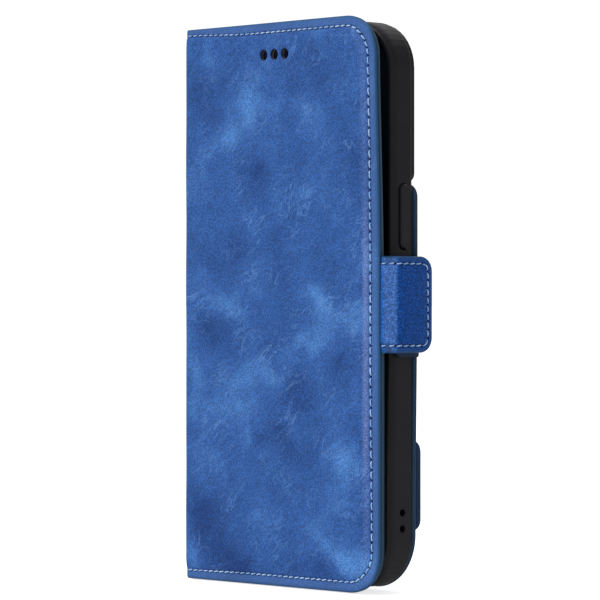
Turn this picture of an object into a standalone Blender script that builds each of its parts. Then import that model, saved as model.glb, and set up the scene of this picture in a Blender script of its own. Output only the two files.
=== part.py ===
"""Phone wallet case: a leather folio with a soft plastic phone tray and a magnetic side clasp.

The case stands on its lower edge. X runs from the spine to the fore-edge, Y from the front cover to
the back panel, and Z is up. Sizes are in millimetres and become metres where a mesh is made.
Each flat piece is drawn as an outline in X and Z and given its depth range along Y.
"""

import math

import bmesh
import bpy
from mathutils import Vector

MM = 0.001
SHARP_ANGLE = math.radians(35)

# Overall sizes
HEIGHT = 168.0
SPINE_X = -42.0
FORE_EDGE_X = 42.0
BACK_Y = 17.1
FOLD = 1.8
SEAM_INSET = 2.5
THREAD_RADIUS = 0.22
GROOVE_WIDTH = 0.9
GROOVE_DEPTH = 0.55
CUT_REACH = 2.0
SQUARE = 0.05
LAYER_GAP = 0.3
TONGUE_SLOT_X = (36.0, 44.0)
TONGUE_SPARE = 0.4

# Front cover, counted from its outer face at Y = 0
COVER_LEATHER = 0.8
COVER_RIM = 1.9
COVER_BOARD = (1.0, 1.75)
COVER_LINING = (2.1, 2.8)
COVER_CORNER = 12.0
RIM_WIDTH = 3.4
LINING_MARGIN = 0.3
POCKET_MARGIN = 0.6
POCKET_SHEET = 0.3
POCKET_STEP = 0.45
POCKET_FIRST_Y = 3.0
CARD_POCKET_TOPS = (122.6, 108.4, 94.2)
CARD_POCKET_X = -30.0
POCKET_PANEL_X = -34.0
EAR_HOLE_X = -1.2
EAR_HOLE_Z = 158.4
EAR_HOLE_PITCH = 4.65
EAR_HOLE_RADIUS = 1.6

# Phone tray
TRAY_X = (-39.6, 40.8)
TRAY_Y = (5.0, 15.2)
TRAY_Z = (1.0, 167.0)
TRAY_CORNER = 14.0
TRAY_WALL_Z = 1.85
TRAY_WALL = 1.2
TRAY_FLOOR = 1.4
TRAY_LIP = 0.8
TRAY_NOSE = 2.6
RIM_SETBACK = 1.5
RIM_SETBACK_Z = (15.0, 105.0)
RIM_STEPS_Z = (30.0, 45.0, 60.0, 75.0, 90.0, 105.0)
PLATEAU_Y = 16.7
PLATEAU_GAP = 0.4
PLATEAU_CORNERS = (5.0, 3.0, 14.0, 4.4)
CAMERA_X = (-5.5, 28.5)
CAMERA_Z = (124.0, 161.0)
CAMERA_CORNER = 8.0
CAMERA_RIM = (1.4, 0.4)
PORT_X = 0.6
PORT_Y = 10.0
PORT_SIZE = (14.0, 6.2)
PORT_CORNER = 2.8
SPEAKER_SIZE = (10.0, 3.0)
SPEAKER_CORNER = 1.45
SPEAKER_OFFSET = 17.5
MICROPHONE_X = 12.6
MICROPHONE_RADIUS = 1.2
LANYARD_Y = 11.0
LANYARD_Z = (18.6, 23.3)
LANYARD_RADIUS = 1.15

# Buttons: centre height, length, and how proud each stands of its wall
BUTTON_Y = 11.5
BUTTON_WIDTH = 3.6
BUTTON_GAP = 0.3
BUTTON_SUNK = 0.95
BUTTON_EDGE = 0.4
SIDE_BUTTON = (109.5, 19.0, 0.9)
VOLUME_UP = (127.0, 12.0, 0.45)
VOLUME_DOWN = (111.0, 12.0, 0.45)
SWITCH_Z = 141.0
SWITCH_LENGTH = 7.5

# Back panel, from the tray to its outer face
BACK_LINING = (15.35, 15.75)
BACK_BOARD = (15.9, 16.3)
BACK_LEATHER_Y = 16.45
BACK_X = -40.2
NOTCH_X = -9.0
NOTCH_Z = 119.3

# Clasp and its keeper
CLASP_Z = (69.9, 97.9)
CLASP_HINGE = (42.6, 1.45)
CLASP_TIP_Y = 18.8
CLASP_X = (43.2, 45.2)
CLASP_CORNER = 3.6
CLASP_FLAT_Y = 2.1
TONGUE_X = (38.6, 41.85)
TONGUE_Y = (1.05, 1.85)
MAGNET_Y = (5.2, 15.2)
MAGNET_MARGIN_Z = 4.0
MAGNET_DEPTH = (0.6, 1.1)
KEEPER_Z = (68.6, 97.2)
KEEPER_X = (41.0, 42.35)
KEEPER_TIP_Y = 6.2
KEEPER_CORNER = 3.0
KEEPER_ROOT_Y = 14.4
PLATE_Y = (7.6, 14.0)
PLATE_DEPTH = (0.45, 0.8)

# Rear stand tab
STAND_Z = (17.5, 44.2)
STAND_X = (3.0, 40.6)
STAND_Y = (17.3, 19.2)
STAND_CORNER = 3.5
STAND_HINGE_X = 1.6
STAND_LINING = 0.35
STAND_PLATE_MARGIN = 3.2
STAND_PLATE_DEPTH = (0.5, 1.05)
STAND_ANCHOR_X = (-9.0, 0.2)
ANCHOR_CORNER = 2.5
ANCHOR_THICKNESS = 1.0

# The world origin is under the middle of the whole case's box
X_MIDDLE = (SPINE_X + CLASP_X[1]) / 2
Y_MIDDLE = STAND_Y[1] / 2

BLUE = (0.045, 0.145, 0.42)
BLUE_DARK = (0.03, 0.11, 0.32)
LINING_BLUE = (0.035, 0.12, 0.30)
TRAY_BLACK = (0.018, 0.018, 0.02)
THREAD_BLUE = (0.36, 0.55, 0.82)
BOARD_GREY = (0.35, 0.33, 0.30)
STEEL = (0.55, 0.55, 0.57)


def world(x, y, z):
    """A place in the case, in millimetres, as a point in the world."""
    return Vector(((x - X_MIDDLE) * MM, (y - Y_MIDDLE) * MM, z * MM))


def material(name, colour, roughness, metallic=0.0):
    made = bpy.data.materials.new(name)
    made.use_nodes = True
    shader = made.node_tree.nodes["Principled BSDF"]
    shader.inputs["Base Color"].default_value = (*colour, 1.0)
    shader.inputs["Roughness"].default_value = roughness
    shader.inputs["Metallic"].default_value = metallic
    return made


def add_object(name, points, faces, look, body=None):
    """A solid from points in millimetres, hung on its body's empty when it moves."""
    mesh = bpy.data.meshes.new(name)
    mesh.from_pydata([world(*p) for p in points], [], faces)
    solid = bmesh.new()
    solid.from_mesh(mesh)
    bmesh.ops.recalc_face_normals(solid, faces=solid.faces)
    solid.to_mesh(mesh)
    solid.free()
    mesh.shade_smooth()
    mesh.set_sharp_from_angle(angle=SHARP_ANGLE)
    made = bpy.data.objects.new(name, mesh)
    bpy.context.scene.collection.objects.link(made)
    made.data.materials.append(material(name, *look))
    hang(made, body)
    return made


def hang(piece, body):
    """Parent a piece to the empty on its joint's axis, keeping its place."""
    if body is not None:
        piece.parent = body
        piece.location = -body.location


def pivot(name, x, y, z):
    """An empty on a joint's axis."""
    made = bpy.data.objects.new(name, None)
    bpy.context.scene.collection.objects.link(made)
    made.location = world(x, y, z)
    made.empty_display_size = 10 * MM
    return made


# ---- outlines -----------------------------------------------------------------------------------


def box_corners(across, up, radii):
    """A rectangle's corners, counter-clockwise from low across and low up: (across, up, radius)."""
    places = [(across[0], up[0]), (across[1], up[0]), (across[1], up[1]), (across[0], up[1])]
    return [(a, b, r) for (a, b), r in zip(places, radii)]


def centred_corners(across, up, size, radius):
    """A rectangle of the given size around a centre, with all four corners alike."""
    wide, tall = size[0] / 2, size[1] / 2
    return box_corners((across - wide, across + wide), (up - tall, up + tall), (radius,) * 4)


def inset(corners, distance):
    """Move every side of a square-cornered outline inwards by the distance."""
    count = len(corners)
    moved = []
    for i, (a, b, radius) in enumerate(corners):
        before = Vector(corners[i - 1][:2])
        here = Vector((a, b))
        after = Vector(corners[(i + 1) % count][:2])
        into = (here - before).normalized()
        out = (after - here).normalized()
        normal = Vector((-into.y, into.x)) + Vector((-out.y, out.x))
        turns_left = into.x * out.y - into.y * out.x > 0
        grown = radius - distance if turns_left else radius + distance
        place = here + normal * distance
        moved.append((place.x, place.y, max(grown, SQUARE)))
    return moved


def round_outline(corners, steps=6):
    """The outline's points, with each corner turned through an arc of its own radius."""
    count = len(corners)
    points = []
    for i, (a, b, radius) in enumerate(corners):
        here = Vector((a, b))
        back = (Vector(corners[i - 1][:2]) - here).normalized()
        ahead = (Vector(corners[(i + 1) % count][:2]) - here).normalized()
        centre = here + (back + ahead) * radius
        turns = steps if radius > 1.0 else 1
        for k in range(turns + 1):
            swing = math.pi / 2 * k / turns
            spoke = -ahead * math.cos(swing) - back * math.sin(swing)
            points.append(tuple(centre + spoke * radius))
    return points


def circle(a, b, radius, count=12):
    turn = 2 * math.pi / count
    return [(a + radius * math.cos(i * turn), b + radius * math.sin(i * turn)) for i in range(count)]


# ---- solids -------------------------------------------------------------------------------------


def slab(name, outline, low, high, look, body=None, along="y"):
    """An outline pushed from low to high along one axis."""
    place = {
        "x": lambda a, b, depth: (depth, a, b),
        "y": lambda a, b, depth: (a, depth, b),
        "z": lambda a, b, depth: (a, b, depth),
    }[along]
    count = len(outline)
    points = [place(a, b, low) for a, b in outline] + [place(a, b, high) for a, b in outline]
    faces = [list(range(count)), [count + i for i in reversed(range(count))]]
    for i in range(count):
        j = (i + 1) % count
        faces.append([i, count + i, count + j, j])
    return add_object(name, points, faces, look, body)


def loft(name, rings, look, body=None):
    """Rings of equal length joined one after another, with the first and last filled."""
    count = len(rings[0])
    points = [p for ring in rings for p in ring]
    faces = [list(reversed(range(count)))]
    for r in range(len(rings) - 1):
        for i in range(count):
            j = (i + 1) % count
            faces.append([r * count + i, r * count + j, (r + 1) * count + j, (r + 1) * count + i])
    last = (len(rings) - 1) * count
    faces.append([last + i for i in range(count)])
    return add_object(name, points, faces, look, body)


def combine(target, tool, operation):
    """Cut a tool from the target, or join it on. The tool is hidden and left out of the model."""
    tool.hide_render = True
    tool.display_type = "WIRE"
    step = target.modifiers.new(tool.name, "BOOLEAN")
    step.operation = operation
    step.solver = "EXACT"
    step.object = tool


def cut_outline(target, outline, low, high, along="y"):
    name = f"{target.name}_cut_{len(target.modifiers)}"
    tool = slab(name, outline, low, high, (TRAY_BLACK, 0.5), along=along)
    combine(target, tool, "DIFFERENCE")


def thread(name, path, body=None):
    """One continuous seam thread along points in millimetres."""
    line = bpy.data.curves.new(name, "CURVE")
    line.dimensions = "3D"
    line.bevel_depth = THREAD_RADIUS * MM
    line.bevel_resolution = 1
    line.use_fill_caps = True
    spline = line.splines.new("POLY")
    spline.points.add(len(path) - 1)
    for point, place in zip(spline.points, path):
        point.co = (*world(*place), 1.0)
    made = bpy.data.objects.new(name, line)
    bpy.context.scene.collection.objects.link(made)
    line.materials.append(material(name, THREAD_BLUE, 0.7))
    hang(made, body)
    return made


def open_seam(corners, distance, start):
    """The inset outline as an open run that begins and ends on the side after corner `start`."""
    ring = inset(corners, distance)
    turned = ring[start + 1:] + ring[:start + 1]
    return round_outline(turned, 5)


def seam_strip(run_out, run_in):
    """A closed strip between two open runs of a seam."""
    return run_out + list(reversed(run_in))


def seam(target, name, corners, start, face, into, along="y", body=None):
    """A groove along three sides of a flat piece, and the thread that lies in it."""
    half = GROOVE_WIDTH / 2
    outer = open_seam(corners, SEAM_INSET - half, start)
    inner = open_seam(corners, SEAM_INSET + half, start)
    middle = open_seam(corners, SEAM_INSET, start)
    outer, inner, middle = (trim_ends(run) for run in (outer, inner, middle))
    depths = sorted((face - into, face + into * GROOVE_DEPTH))
    cut_outline(target, seam_strip(outer, inner), depths[0], depths[1], along)
    sunk = face + into * (THREAD_RADIUS + 0.05)
    middle[0] = pull_in(middle[0], middle[1])
    middle[-1] = pull_in(middle[-1], middle[-2])
    if along == "y":
        path = [(a, sunk, b) for a, b in middle]
    else:
        path = [(sunk, a, b) for a, b in middle]
    thread(name, path, body)


def pull_in(end, beside):
    """A thread's end, drawn back so that it stays inside its groove."""
    back = (Vector(beside) - Vector(end)).normalized() * GROOVE_WIDTH
    return tuple(Vector(end) + back)


def trim_ends(run):
    """Drop the arcs at the two ends of an open run, which lie on the side without a seam."""
    return run[1:-1]


# ---- front cover --------------------------------------------------------------------------------


def cover_corners(left=SPINE_X + FOLD, top=HEIGHT):
    return box_corners((left, FORE_EDGE_X), (0.0, top), (SQUARE, COVER_CORNER, COVER_CORNER, SQUARE))


def ear_holes(target):
    """Three round holes in a row, cut through one layer of the cover."""
    for step in (-1, 0, 1):
        ring = circle(EAR_HOLE_X + step * EAR_HOLE_PITCH, EAR_HOLE_Z, EAR_HOLE_RADIUS)
        cut_outline(target, ring, -CUT_REACH, POCKET_FIRST_Y + CUT_REACH)


def tongue_slot(heights):
    """The gap in a panel's turned-in edge where a strap's tongue is sewn in."""
    low, high = heights
    return round_outline(box_corners(TONGUE_SLOT_X, (low - TONGUE_SPARE, high + TONGUE_SPARE), (SQUARE,) * 4))


def front_cover(body):
    outline = cover_corners()
    leather = slab("front_leather", round_outline(outline, 8), 0.0, COVER_RIM, (BLUE, 0.5), body)
    pocket = round_outline(inset(outline, RIM_WIDTH), 6)
    cut_outline(leather, pocket, COVER_LEATHER, COVER_RIM + CUT_REACH)
    cut_outline(leather, tongue_slot(CLASP_Z), COVER_LEATHER, COVER_RIM + CUT_REACH)
    ear_holes(leather)
    seam(leather, "front_thread", outline, 3, 0.0, 1.0, body=body)

    inside = round_outline(inset(outline, RIM_WIDTH + LAYER_GAP), 6)
    board = slab("front_board", inside, *COVER_BOARD, (BOARD_GREY, 0.8), body)
    ear_holes(board)

    lining_edge = round_outline(inset(outline, LINING_MARGIN), 8)
    lining = slab("front_lining", lining_edge, *COVER_LINING, (LINING_BLUE, 0.7), body)
    ear_holes(lining)
    pockets(body)

    tongue = round_outline(box_corners(TONGUE_X, CLASP_Z, (SQUARE,) * 4))
    slab("clasp_anchor", tongue, *TONGUE_Y, (BLUE_DARK, 0.6), body)


def pockets(body):
    """The panel that makes the cash pocket, and three card pockets stepped on top of it."""
    panel = inset(cover_corners(POCKET_PANEL_X - POCKET_MARGIN), POCKET_MARGIN)
    near, far = POCKET_FIRST_Y, POCKET_FIRST_Y + POCKET_SHEET
    made = slab("pocket_panel", round_outline(panel), near, far, (LINING_BLUE, 0.7), body)
    ear_holes(made)
    right, bottom, corner = panel[1]
    for number, top in enumerate(CARD_POCKET_TOPS, start=1):
        step = number * POCKET_STEP
        sheet = box_corners((CARD_POCKET_X, right), (bottom, top), (SQUARE, corner, SQUARE, SQUARE))
        name = f"card_pocket_{number}"
        slab(name, round_outline(sheet), near + step, far + step, (LINING_BLUE, 0.65), body)


# ---- spine --------------------------------------------------------------------------------------


def spine(body):
    low, high = FOLD, BACK_Y - FOLD
    layers = (
        ("spine_leather", 0.0, 0.6, 0.0, (BLUE, 0.5)),
        ("spine_strip", 0.75, 0.95, 1.5, (BOARD_GREY, 0.8)),
        ("spine_lining", 1.1, 1.5, 0.4, (LINING_BLUE, 0.7)),
    )
    for name, start, end, margin, look in layers:
        flat = box_corners((low + margin / 2, high - margin / 2), (margin, HEIGHT - margin), (SQUARE,) * 4)
        slab(name, round_outline(flat), SPINE_X + start, SPINE_X + end, look, body, along="x")


# ---- phone tray ---------------------------------------------------------------------------------


def tray_ring(outer_inset, depth, across_extra=0.0):
    """One ring of the tray's wall: the tray's outline, inset, at a depth along Y."""
    across = (TRAY_X[0] + across_extra, TRAY_X[1] - across_extra)
    corners = box_corners(across, TRAY_Z, (TRAY_CORNER - across_extra / 2,) * 4)
    ring = split_sides(round_outline(inset(corners, outer_inset), 10))
    in_rim = depth < TRAY_Y[0] + TRAY_NOSE + 0.1
    return [(a, depth + in_rim * rim_setback(b), b) for a, b in ring]


def split_sides(ring):
    """The same ring with extra points along its two upright sides."""
    points = []
    for near, far in zip(ring, ring[1:] + ring[:1]):
        points.append(near)
        if abs(far[1] - near[1]) > HEIGHT / 2:
            heights = RIM_STEPS_Z if far[1] > near[1] else reversed(RIM_STEPS_Z)
            points += [(near[0], height) for height in heights]
    return points


def rim_setback(height):
    """How much further back the front rim stands: nothing low down, most at the top."""
    low, high = RIM_SETBACK_Z
    share = min(max((height - low) / (high - low), 0.0), 1.0)
    return RIM_SETBACK * share * share * (3 - 2 * share)


def tray_rings():
    """The tray's section, from the middle of its back, round its wall and lip, to the phone bay's floor."""
    front, back = TRAY_Y
    nose = TRAY_NOSE
    outside = [(0.8, back), (0.25, back - 0.2), (0.0, back - 0.8)]
    for k in range(5):
        swing = math.pi / 2 * k / 4
        outside.append((nose * 0.45 * (1 - math.cos(swing)), front + nose * (1 - math.sin(swing))))
    lip = TRAY_WALL_Z + TRAY_LIP - 0.2
    bay = TRAY_WALL_Z
    floor = back - TRAY_FLOOR
    inside = [
        (lip, front + 0.1),
        (lip + 0.1, front + 0.7),
        (bay, front + 1.1),
        (bay, floor - 0.6),
        (bay + 0.6, floor),
    ]
    rings = [tray_ring(*place) for place in outside]
    side = TRAY_WALL - TRAY_WALL_Z
    rings += [tray_ring(distance, depth, side) for distance, depth in inside]
    return rings


def button_outline(centre_z, length, spare=0.0):
    """A button's long round-ended outline in Y and Z, grown by the spare on every side."""
    size = (BUTTON_WIDTH + 2 * spare, length + 2 * spare)
    return round_outline(centred_corners(BUTTON_Y, centre_z, size, size[0] / 2 - SQUARE), 5)


def camera_corners():
    return box_corners(CAMERA_X, CAMERA_Z, (CAMERA_CORNER,) * 4)


def tray():
    shell = loft("tpu_shell", tray_rings(), (TRAY_BLACK, 0.45))
    width, height = CAMERA_RIM
    back = TRAY_Y[1]
    plateau = box_corners((NOTCH_X, TRAY_X[1]), (NOTCH_Z, TRAY_Z[1]), PLATEAU_CORNERS)
    top = PLATEAU_Y
    rings = []
    for distance, depth in ((0.0, back - 1.0), (0.0, top - 0.5), (0.15, top - 0.15), (0.5, top)):
        outline = round_outline(inset(plateau, PLATEAU_GAP + distance), 10)
        rings.append([(a, depth, b) for a, b in outline])
    combine(shell, loft("camera_plateau", rings, (TRAY_BLACK, 0.45)), "UNION")
    ring = round_outline(inset(camera_corners(), -width), 6)
    rim = slab("camera_rim", ring, back - 0.5, top + height, (TRAY_BLACK, 0.45))
    combine(shell, rim, "UNION")
    window = round_outline(camera_corners(), 6)
    cut_outline(shell, window, back - TRAY_FLOOR - CUT_REACH, top + height + CUT_REACH)

    bottom = (TRAY_Z[0] - CUT_REACH, TRAY_Z[0] + TRAY_WALL + CUT_REACH)
    port = centred_corners(PORT_X, PORT_Y, PORT_SIZE, PORT_CORNER)
    cut_outline(shell, round_outline(port, 4), *bottom, along="z")
    for side in (-1, 1):
        grille = centred_corners(PORT_X + side * SPEAKER_OFFSET, PORT_Y, SPEAKER_SIZE, SPEAKER_CORNER)
        cut_outline(shell, round_outline(grille, 4), *bottom, along="z")
    upper = (TRAY_Z[1] - TRAY_WALL - CUT_REACH, TRAY_Z[1] + CUT_REACH)
    cut_outline(shell, circle(MICROPHONE_X, PORT_Y, MICROPHONE_RADIUS), *upper, along="z")

    right = (TRAY_X[1] - TRAY_WALL - CUT_REACH, TRAY_X[1] + CUT_REACH)
    left = (TRAY_X[0] - CUT_REACH, TRAY_X[0] + TRAY_WALL + CUT_REACH)
    for height in LANYARD_Z:
        cut_outline(shell, circle(LANYARD_Y, height, LANYARD_RADIUS), *right, along="x")
    cut_outline(shell, button_outline(*SIDE_BUTTON[:2], BUTTON_GAP), *right, along="x")
    for centre, length, _ in (VOLUME_UP, VOLUME_DOWN):
        cut_outline(shell, button_outline(centre, length, BUTTON_GAP), *left, along="x")
    cut_outline(shell, button_outline(SWITCH_Z, SWITCH_LENGTH, BUTTON_GAP), *left, along="x")


def button(name, place, wall_x, outward):
    """A moulded button cover that slides in its window, with a rounded outer edge."""
    centre, length, proud = place
    body = pivot(f"{name}_travel", wall_x, BUTTON_Y, centre)
    inner = wall_x - outward * BUTTON_SUNK
    edge = wall_x + outward * (proud - BUTTON_EDGE)
    depths = [(0.0, inner), (0.0, edge), (BUTTON_EDGE, wall_x + outward * proud)]
    rings = []
    for distance, depth in depths:
        rings.append([(depth, a, b) for a, b in button_outline(centre, length, -distance)])
    loft(name, rings, (TRAY_BLACK, 0.45), body)


# ---- back panel ---------------------------------------------------------------------------------


def back_corners():
    """The back panel's outline, with the camera notch at its top fore-edge corner."""
    right = TRAY_X[1]
    return [
        (BACK_X, 0.0, SQUARE),
        (right, 0.0, TRAY_CORNER + 0.5),
        (right, NOTCH_Z, 4.0),
        (NOTCH_X, NOTCH_Z, 5.0),
        (NOTCH_X, HEIGHT, 4.0),
        (BACK_X, HEIGHT, SQUARE),
    ]


def back_panel():
    outline = back_corners()
    rim = BACK_BOARD[0]
    leather = slab("back_leather", round_outline(outline, 7), rim, BACK_Y, (BLUE, 0.5))
    cut_outline(leather, round_outline(inset(outline, RIM_WIDTH), 5), rim - CUT_REACH, BACK_LEATHER_Y)
    cut_outline(leather, tongue_slot(KEEPER_Z), rim - CUT_REACH, BACK_LEATHER_Y)
    seam(leather, "back_thread", outline, 5, BACK_Y, -1.0)
    inside = round_outline(inset(outline, RIM_WIDTH + LAYER_GAP), 5)
    slab("back_board", inside, *BACK_BOARD, (BOARD_GREY, 0.8))
    lining_edge = round_outline(inset(outline, LINING_MARGIN), 7)
    slab("back_lining", lining_edge, *BACK_LINING, (LINING_BLUE, 0.7))


# ---- bent straps --------------------------------------------------------------------------------


def strap_heights(along, total, heights, corner):
    """The strap's low and high edge at a distance along it, with rounded corners at its free end."""
    left = total - along
    drop = 0.0
    if left < corner:
        drop = corner - math.sqrt(max(corner**2 - (corner - left) ** 2, 0.0))
    return heights[0] + drop, heights[1] - drop


def strap_rings(inner, outer, share, heights, corner):
    """Sections of a bent strap: a layer between two shares of the way from its inner to outer face."""
    lengths = [0.0]
    for a, b in zip(outer, outer[1:]):
        lengths.append(lengths[-1] + math.dist(a, b))
    rings = []
    for near, far, along in zip(inner, outer, lengths):
        low, high = strap_heights(along, lengths[-1], heights, corner)
        start, end = Vector(near).lerp(Vector(far), share[0]), Vector(near).lerp(Vector(far), share[1])
        rings.append([(*start, low), (*end, low), (*end, high), (*start, high)])
    return rings


def end_steps(last_y, corner, direction, count=6):
    """Depths along Y through a rounded free end, ending at its tip."""
    start = last_y - direction * corner
    return [start + direction * corner * math.sin(math.pi / 2 * k / count) for k in range(count + 1)]


def clasp_faces():
    """The clasp's inner and outer faces: out of the cover's edge, then back along the tray's side."""
    inner = [(42.75, 1.95), (43.0, 2.3), (43.15, 3.0), (CLASP_X[0], 4.3)]
    outer = [(42.75, 0.95), (43.7, 1.35), (44.6, 2.5), (CLASP_X[1], 4.3)]
    for y in end_steps(CLASP_TIP_Y, CLASP_CORNER, 1.0):
        inner.append((CLASP_X[0], y))
        outer.append((CLASP_X[1], y))
    return inner, outer


def strap_corners(near_y, tip_y, heights, corner):
    """A strap's flat part as seen from the side, for its seam and its pocket: rounded at the tip."""
    if tip_y > near_y:
        return box_corners((near_y, tip_y), heights, (SQUARE, corner, corner, SQUARE))
    return box_corners((tip_y, near_y), heights, (corner, SQUARE, SQUARE, corner))


def magnet_pocket(across, heights):
    """The pocket for a magnet or its plate, as seen from the side."""
    low, high = heights
    return box_corners(across, (low + MAGNET_MARGIN_Z, high - MAGNET_MARGIN_Z), (1.0,) * 4)


def clasp(body):
    inner, outer = clasp_faces()
    leather_rings = strap_rings(inner, outer, (0.29, 1.0), CLASP_Z, CLASP_CORNER)
    leather = loft("clasp_leather", leather_rings, (BLUE, 0.5), body)
    lining_rings = strap_rings(inner, outer, (0.0, 0.22), CLASP_Z, CLASP_CORNER)
    loft("clasp_lining", lining_rings, (BLUE_DARK, 0.6), body)
    near, far = (CLASP_X[0] + depth for depth in MAGNET_DEPTH)
    pocket = magnet_pocket(MAGNET_Y, CLASP_Z)
    cut_outline(leather, round_outline(pocket), near - LAYER_GAP, far + LAYER_GAP / 2, along="x")
    magnet = round_outline(inset(pocket, LAYER_GAP))
    slab("clasp_magnet", magnet, near, far, (STEEL, 0.4, 1.0), body, along="x")
    flat = strap_corners(CLASP_FLAT_Y, CLASP_TIP_Y, CLASP_Z, CLASP_CORNER)
    seam(leather, "clasp_thread", flat, 3, CLASP_X[1], -1.0, along="x", body=body)


def keeper():
    """The fixed tab under the clasp: out of the back panel's edge, then forward along the tray's side."""
    tongue_in, tongue_out = BACK_BOARD
    near, far = KEEPER_X
    inner = [(37.8, tongue_in), (41.0, tongue_in), (41.15, 15.6), (41.25, 15.2), (41.3, KEEPER_ROOT_Y)]
    outer = [(37.8, tongue_out), (41.3, tongue_out), (42.0, 16.0), (42.3, 15.4), (far, KEEPER_ROOT_Y)]
    for y in end_steps(KEEPER_TIP_Y, KEEPER_CORNER, -1.0):
        inner.append((near + 0.4, y))
        outer.append((far, y))
    rings = strap_rings(inner, outer, (0.0, 1.0), KEEPER_Z, KEEPER_CORNER)
    leather = loft("keeper_leather", rings, (BLUE_DARK, 0.55))
    low, high = (near + depth for depth in PLATE_DEPTH)
    pocket = magnet_pocket(PLATE_Y, KEEPER_Z)
    cut_outline(leather, round_outline(pocket), near - CUT_REACH / 4, high + LAYER_GAP / 2, along="x")
    plate = round_outline(inset(pocket, LAYER_GAP))
    slab("keeper_plate", plate, low, high, (STEEL, 0.4, 1.0), along="x")
    flat = strap_corners(KEEPER_ROOT_Y, KEEPER_TIP_Y, KEEPER_Z, KEEPER_CORNER)
    backing = round_outline(inset(flat, LAYER_GAP), 5)
    slab("keeper_lining", backing, near, near + LAYER_GAP, (LINING_BLUE, 0.7), along="x")
    seam(leather, "keeper_thread", flat, 1, far, -1.0, along="x")


# ---- rear stand tab -----------------------------------------------------------------------------


def stand(body):
    flat = box_corners(STAND_X, STAND_Z, (SQUARE, STAND_CORNER, STAND_CORNER, SQUARE))
    near, far = STAND_Y
    leather = slab("stand_leather", round_outline(flat), near + STAND_LINING + 0.1, far, (BLUE, 0.5), body)
    pocket = inset(flat, STAND_PLATE_MARGIN)
    low, high = (near + depth for depth in STAND_PLATE_DEPTH)
    cut_outline(leather, round_outline(pocket), near, high + LAYER_GAP / 2)
    slab("stand_plate", round_outline(inset(pocket, LAYER_GAP)), low, high, (STEEL, 0.4, 1.0), body)
    slab("stand_lining", round_outline(flat), near, near + STAND_LINING, (BLUE_DARK, 0.6), body)
    seam(leather, "stand_thread", flat, 3, far, -1.0, body=body)

    strip = box_corners(STAND_ANCHOR_X, STAND_Z, (ANCHOR_CORNER, SQUARE, SQUARE, ANCHOR_CORNER))
    anchor = slab("stand_anchor", round_outline(strip), near, near + ANCHOR_THICKNESS, (BLUE, 0.5))
    seam(anchor, "stand_anchor_thread", strip, 1, near + ANCHOR_THICKNESS, -1.0)


# ---- assembly -----------------------------------------------------------------------------------


def clear_scene():
    for old in list(bpy.data.objects):
        bpy.data.objects.remove(old, do_unlink=True)


def build():
    clear_scene()
    middle = HEIGHT / 2
    spine_fold = pivot("spine_fold", SPINE_X, BACK_Y, middle)
    cover_fold = pivot("cover_fold", SPINE_X, 0.0, middle)
    clasp_fold = pivot("clasp_fold", *CLASP_HINGE, sum(CLASP_Z) / 2)
    stand_fold = pivot("stand_fold", STAND_HINGE_X, STAND_Y[0], sum(STAND_Z) / 2)
    tray()
    back_panel()
    keeper()
    button("side_button", SIDE_BUTTON, TRAY_X[1], 1.0)
    button("volume_up_button", VOLUME_UP, TRAY_X[0], -1.0)
    button("volume_down_button", VOLUME_DOWN, TRAY_X[0], -1.0)
    spine(spine_fold)
    front_cover(cover_fold)
    clasp(clasp_fold)
    stand(stand_fold)


build()
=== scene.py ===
"""The looks of the phone wallet case: padded blue leather, stitched seams, linings and a black phone tray.

Sizes are in millimetres in the frame of the CAD model, and become metres where a mesh is made. Every
leather piece is cut flat, as a pattern, and then bent along its section: S runs along the section,
Z is up, and H is the height over the piece's outer face.
"""

import math

import bmesh
import bpy
import numpy as np
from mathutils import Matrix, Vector, noise
from mathutils.geometry import delaunay_2d_cdt


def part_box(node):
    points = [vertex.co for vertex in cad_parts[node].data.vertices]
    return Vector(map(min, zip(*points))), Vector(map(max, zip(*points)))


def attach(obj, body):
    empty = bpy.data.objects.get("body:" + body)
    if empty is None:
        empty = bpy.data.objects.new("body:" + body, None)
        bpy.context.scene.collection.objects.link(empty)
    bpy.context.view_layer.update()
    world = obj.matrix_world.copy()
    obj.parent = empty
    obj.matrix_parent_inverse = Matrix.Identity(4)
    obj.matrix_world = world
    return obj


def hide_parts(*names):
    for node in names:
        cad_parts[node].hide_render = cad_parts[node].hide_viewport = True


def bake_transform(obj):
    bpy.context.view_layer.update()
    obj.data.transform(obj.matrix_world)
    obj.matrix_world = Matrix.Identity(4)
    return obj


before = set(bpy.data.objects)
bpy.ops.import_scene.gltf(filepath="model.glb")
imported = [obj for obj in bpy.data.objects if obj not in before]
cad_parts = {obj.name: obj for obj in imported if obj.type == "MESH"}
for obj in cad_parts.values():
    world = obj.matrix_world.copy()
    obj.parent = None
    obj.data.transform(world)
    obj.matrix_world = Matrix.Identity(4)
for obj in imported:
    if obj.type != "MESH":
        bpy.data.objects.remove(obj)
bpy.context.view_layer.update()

MM = 0.001
# How far a seam lies inside its panel's edge: in general, on the cover and on the strap
SEAM_INSET = 2.5
COVER_SEAM = 3.3
CLASP_SEAM = 2.1
# The length of one stitch across the case and up it, and the same for the strap
STITCH = (2.35, 3.0)
STRAP_STITCH = (2.8, 2.3)
# Places along one stitch where the leather has a row of points, and how deep its needle hole is there
STITCH_STEPS = ((0.0, 1.0), (0.08, 1.0), (0.14, 0.3), (0.5, 0.0), (0.86, 0.3), (0.92, 1.0))
THREAD_RADIUS = 0.2
FOLD_RADIUS = 2.6
GRID_STEP = 2.2
FOLD_STEP = 0.45
PIT_DEPTH = 0.4
BORDER_INSET = 1.3
# How deep a needle hole is on the seam's own row of points and on the rows beside it
PIT_SPREAD = {0: 1.0, 1: 0.85, 2: 0.15}
# A seam next to a fold starts this far past it
FOLD_GAP = 0.3
CORNER_STEPS = 24
# An open side bows out by this much, so that no three of its points lie on one line
COLUMN_BOW = 0.02
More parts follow.
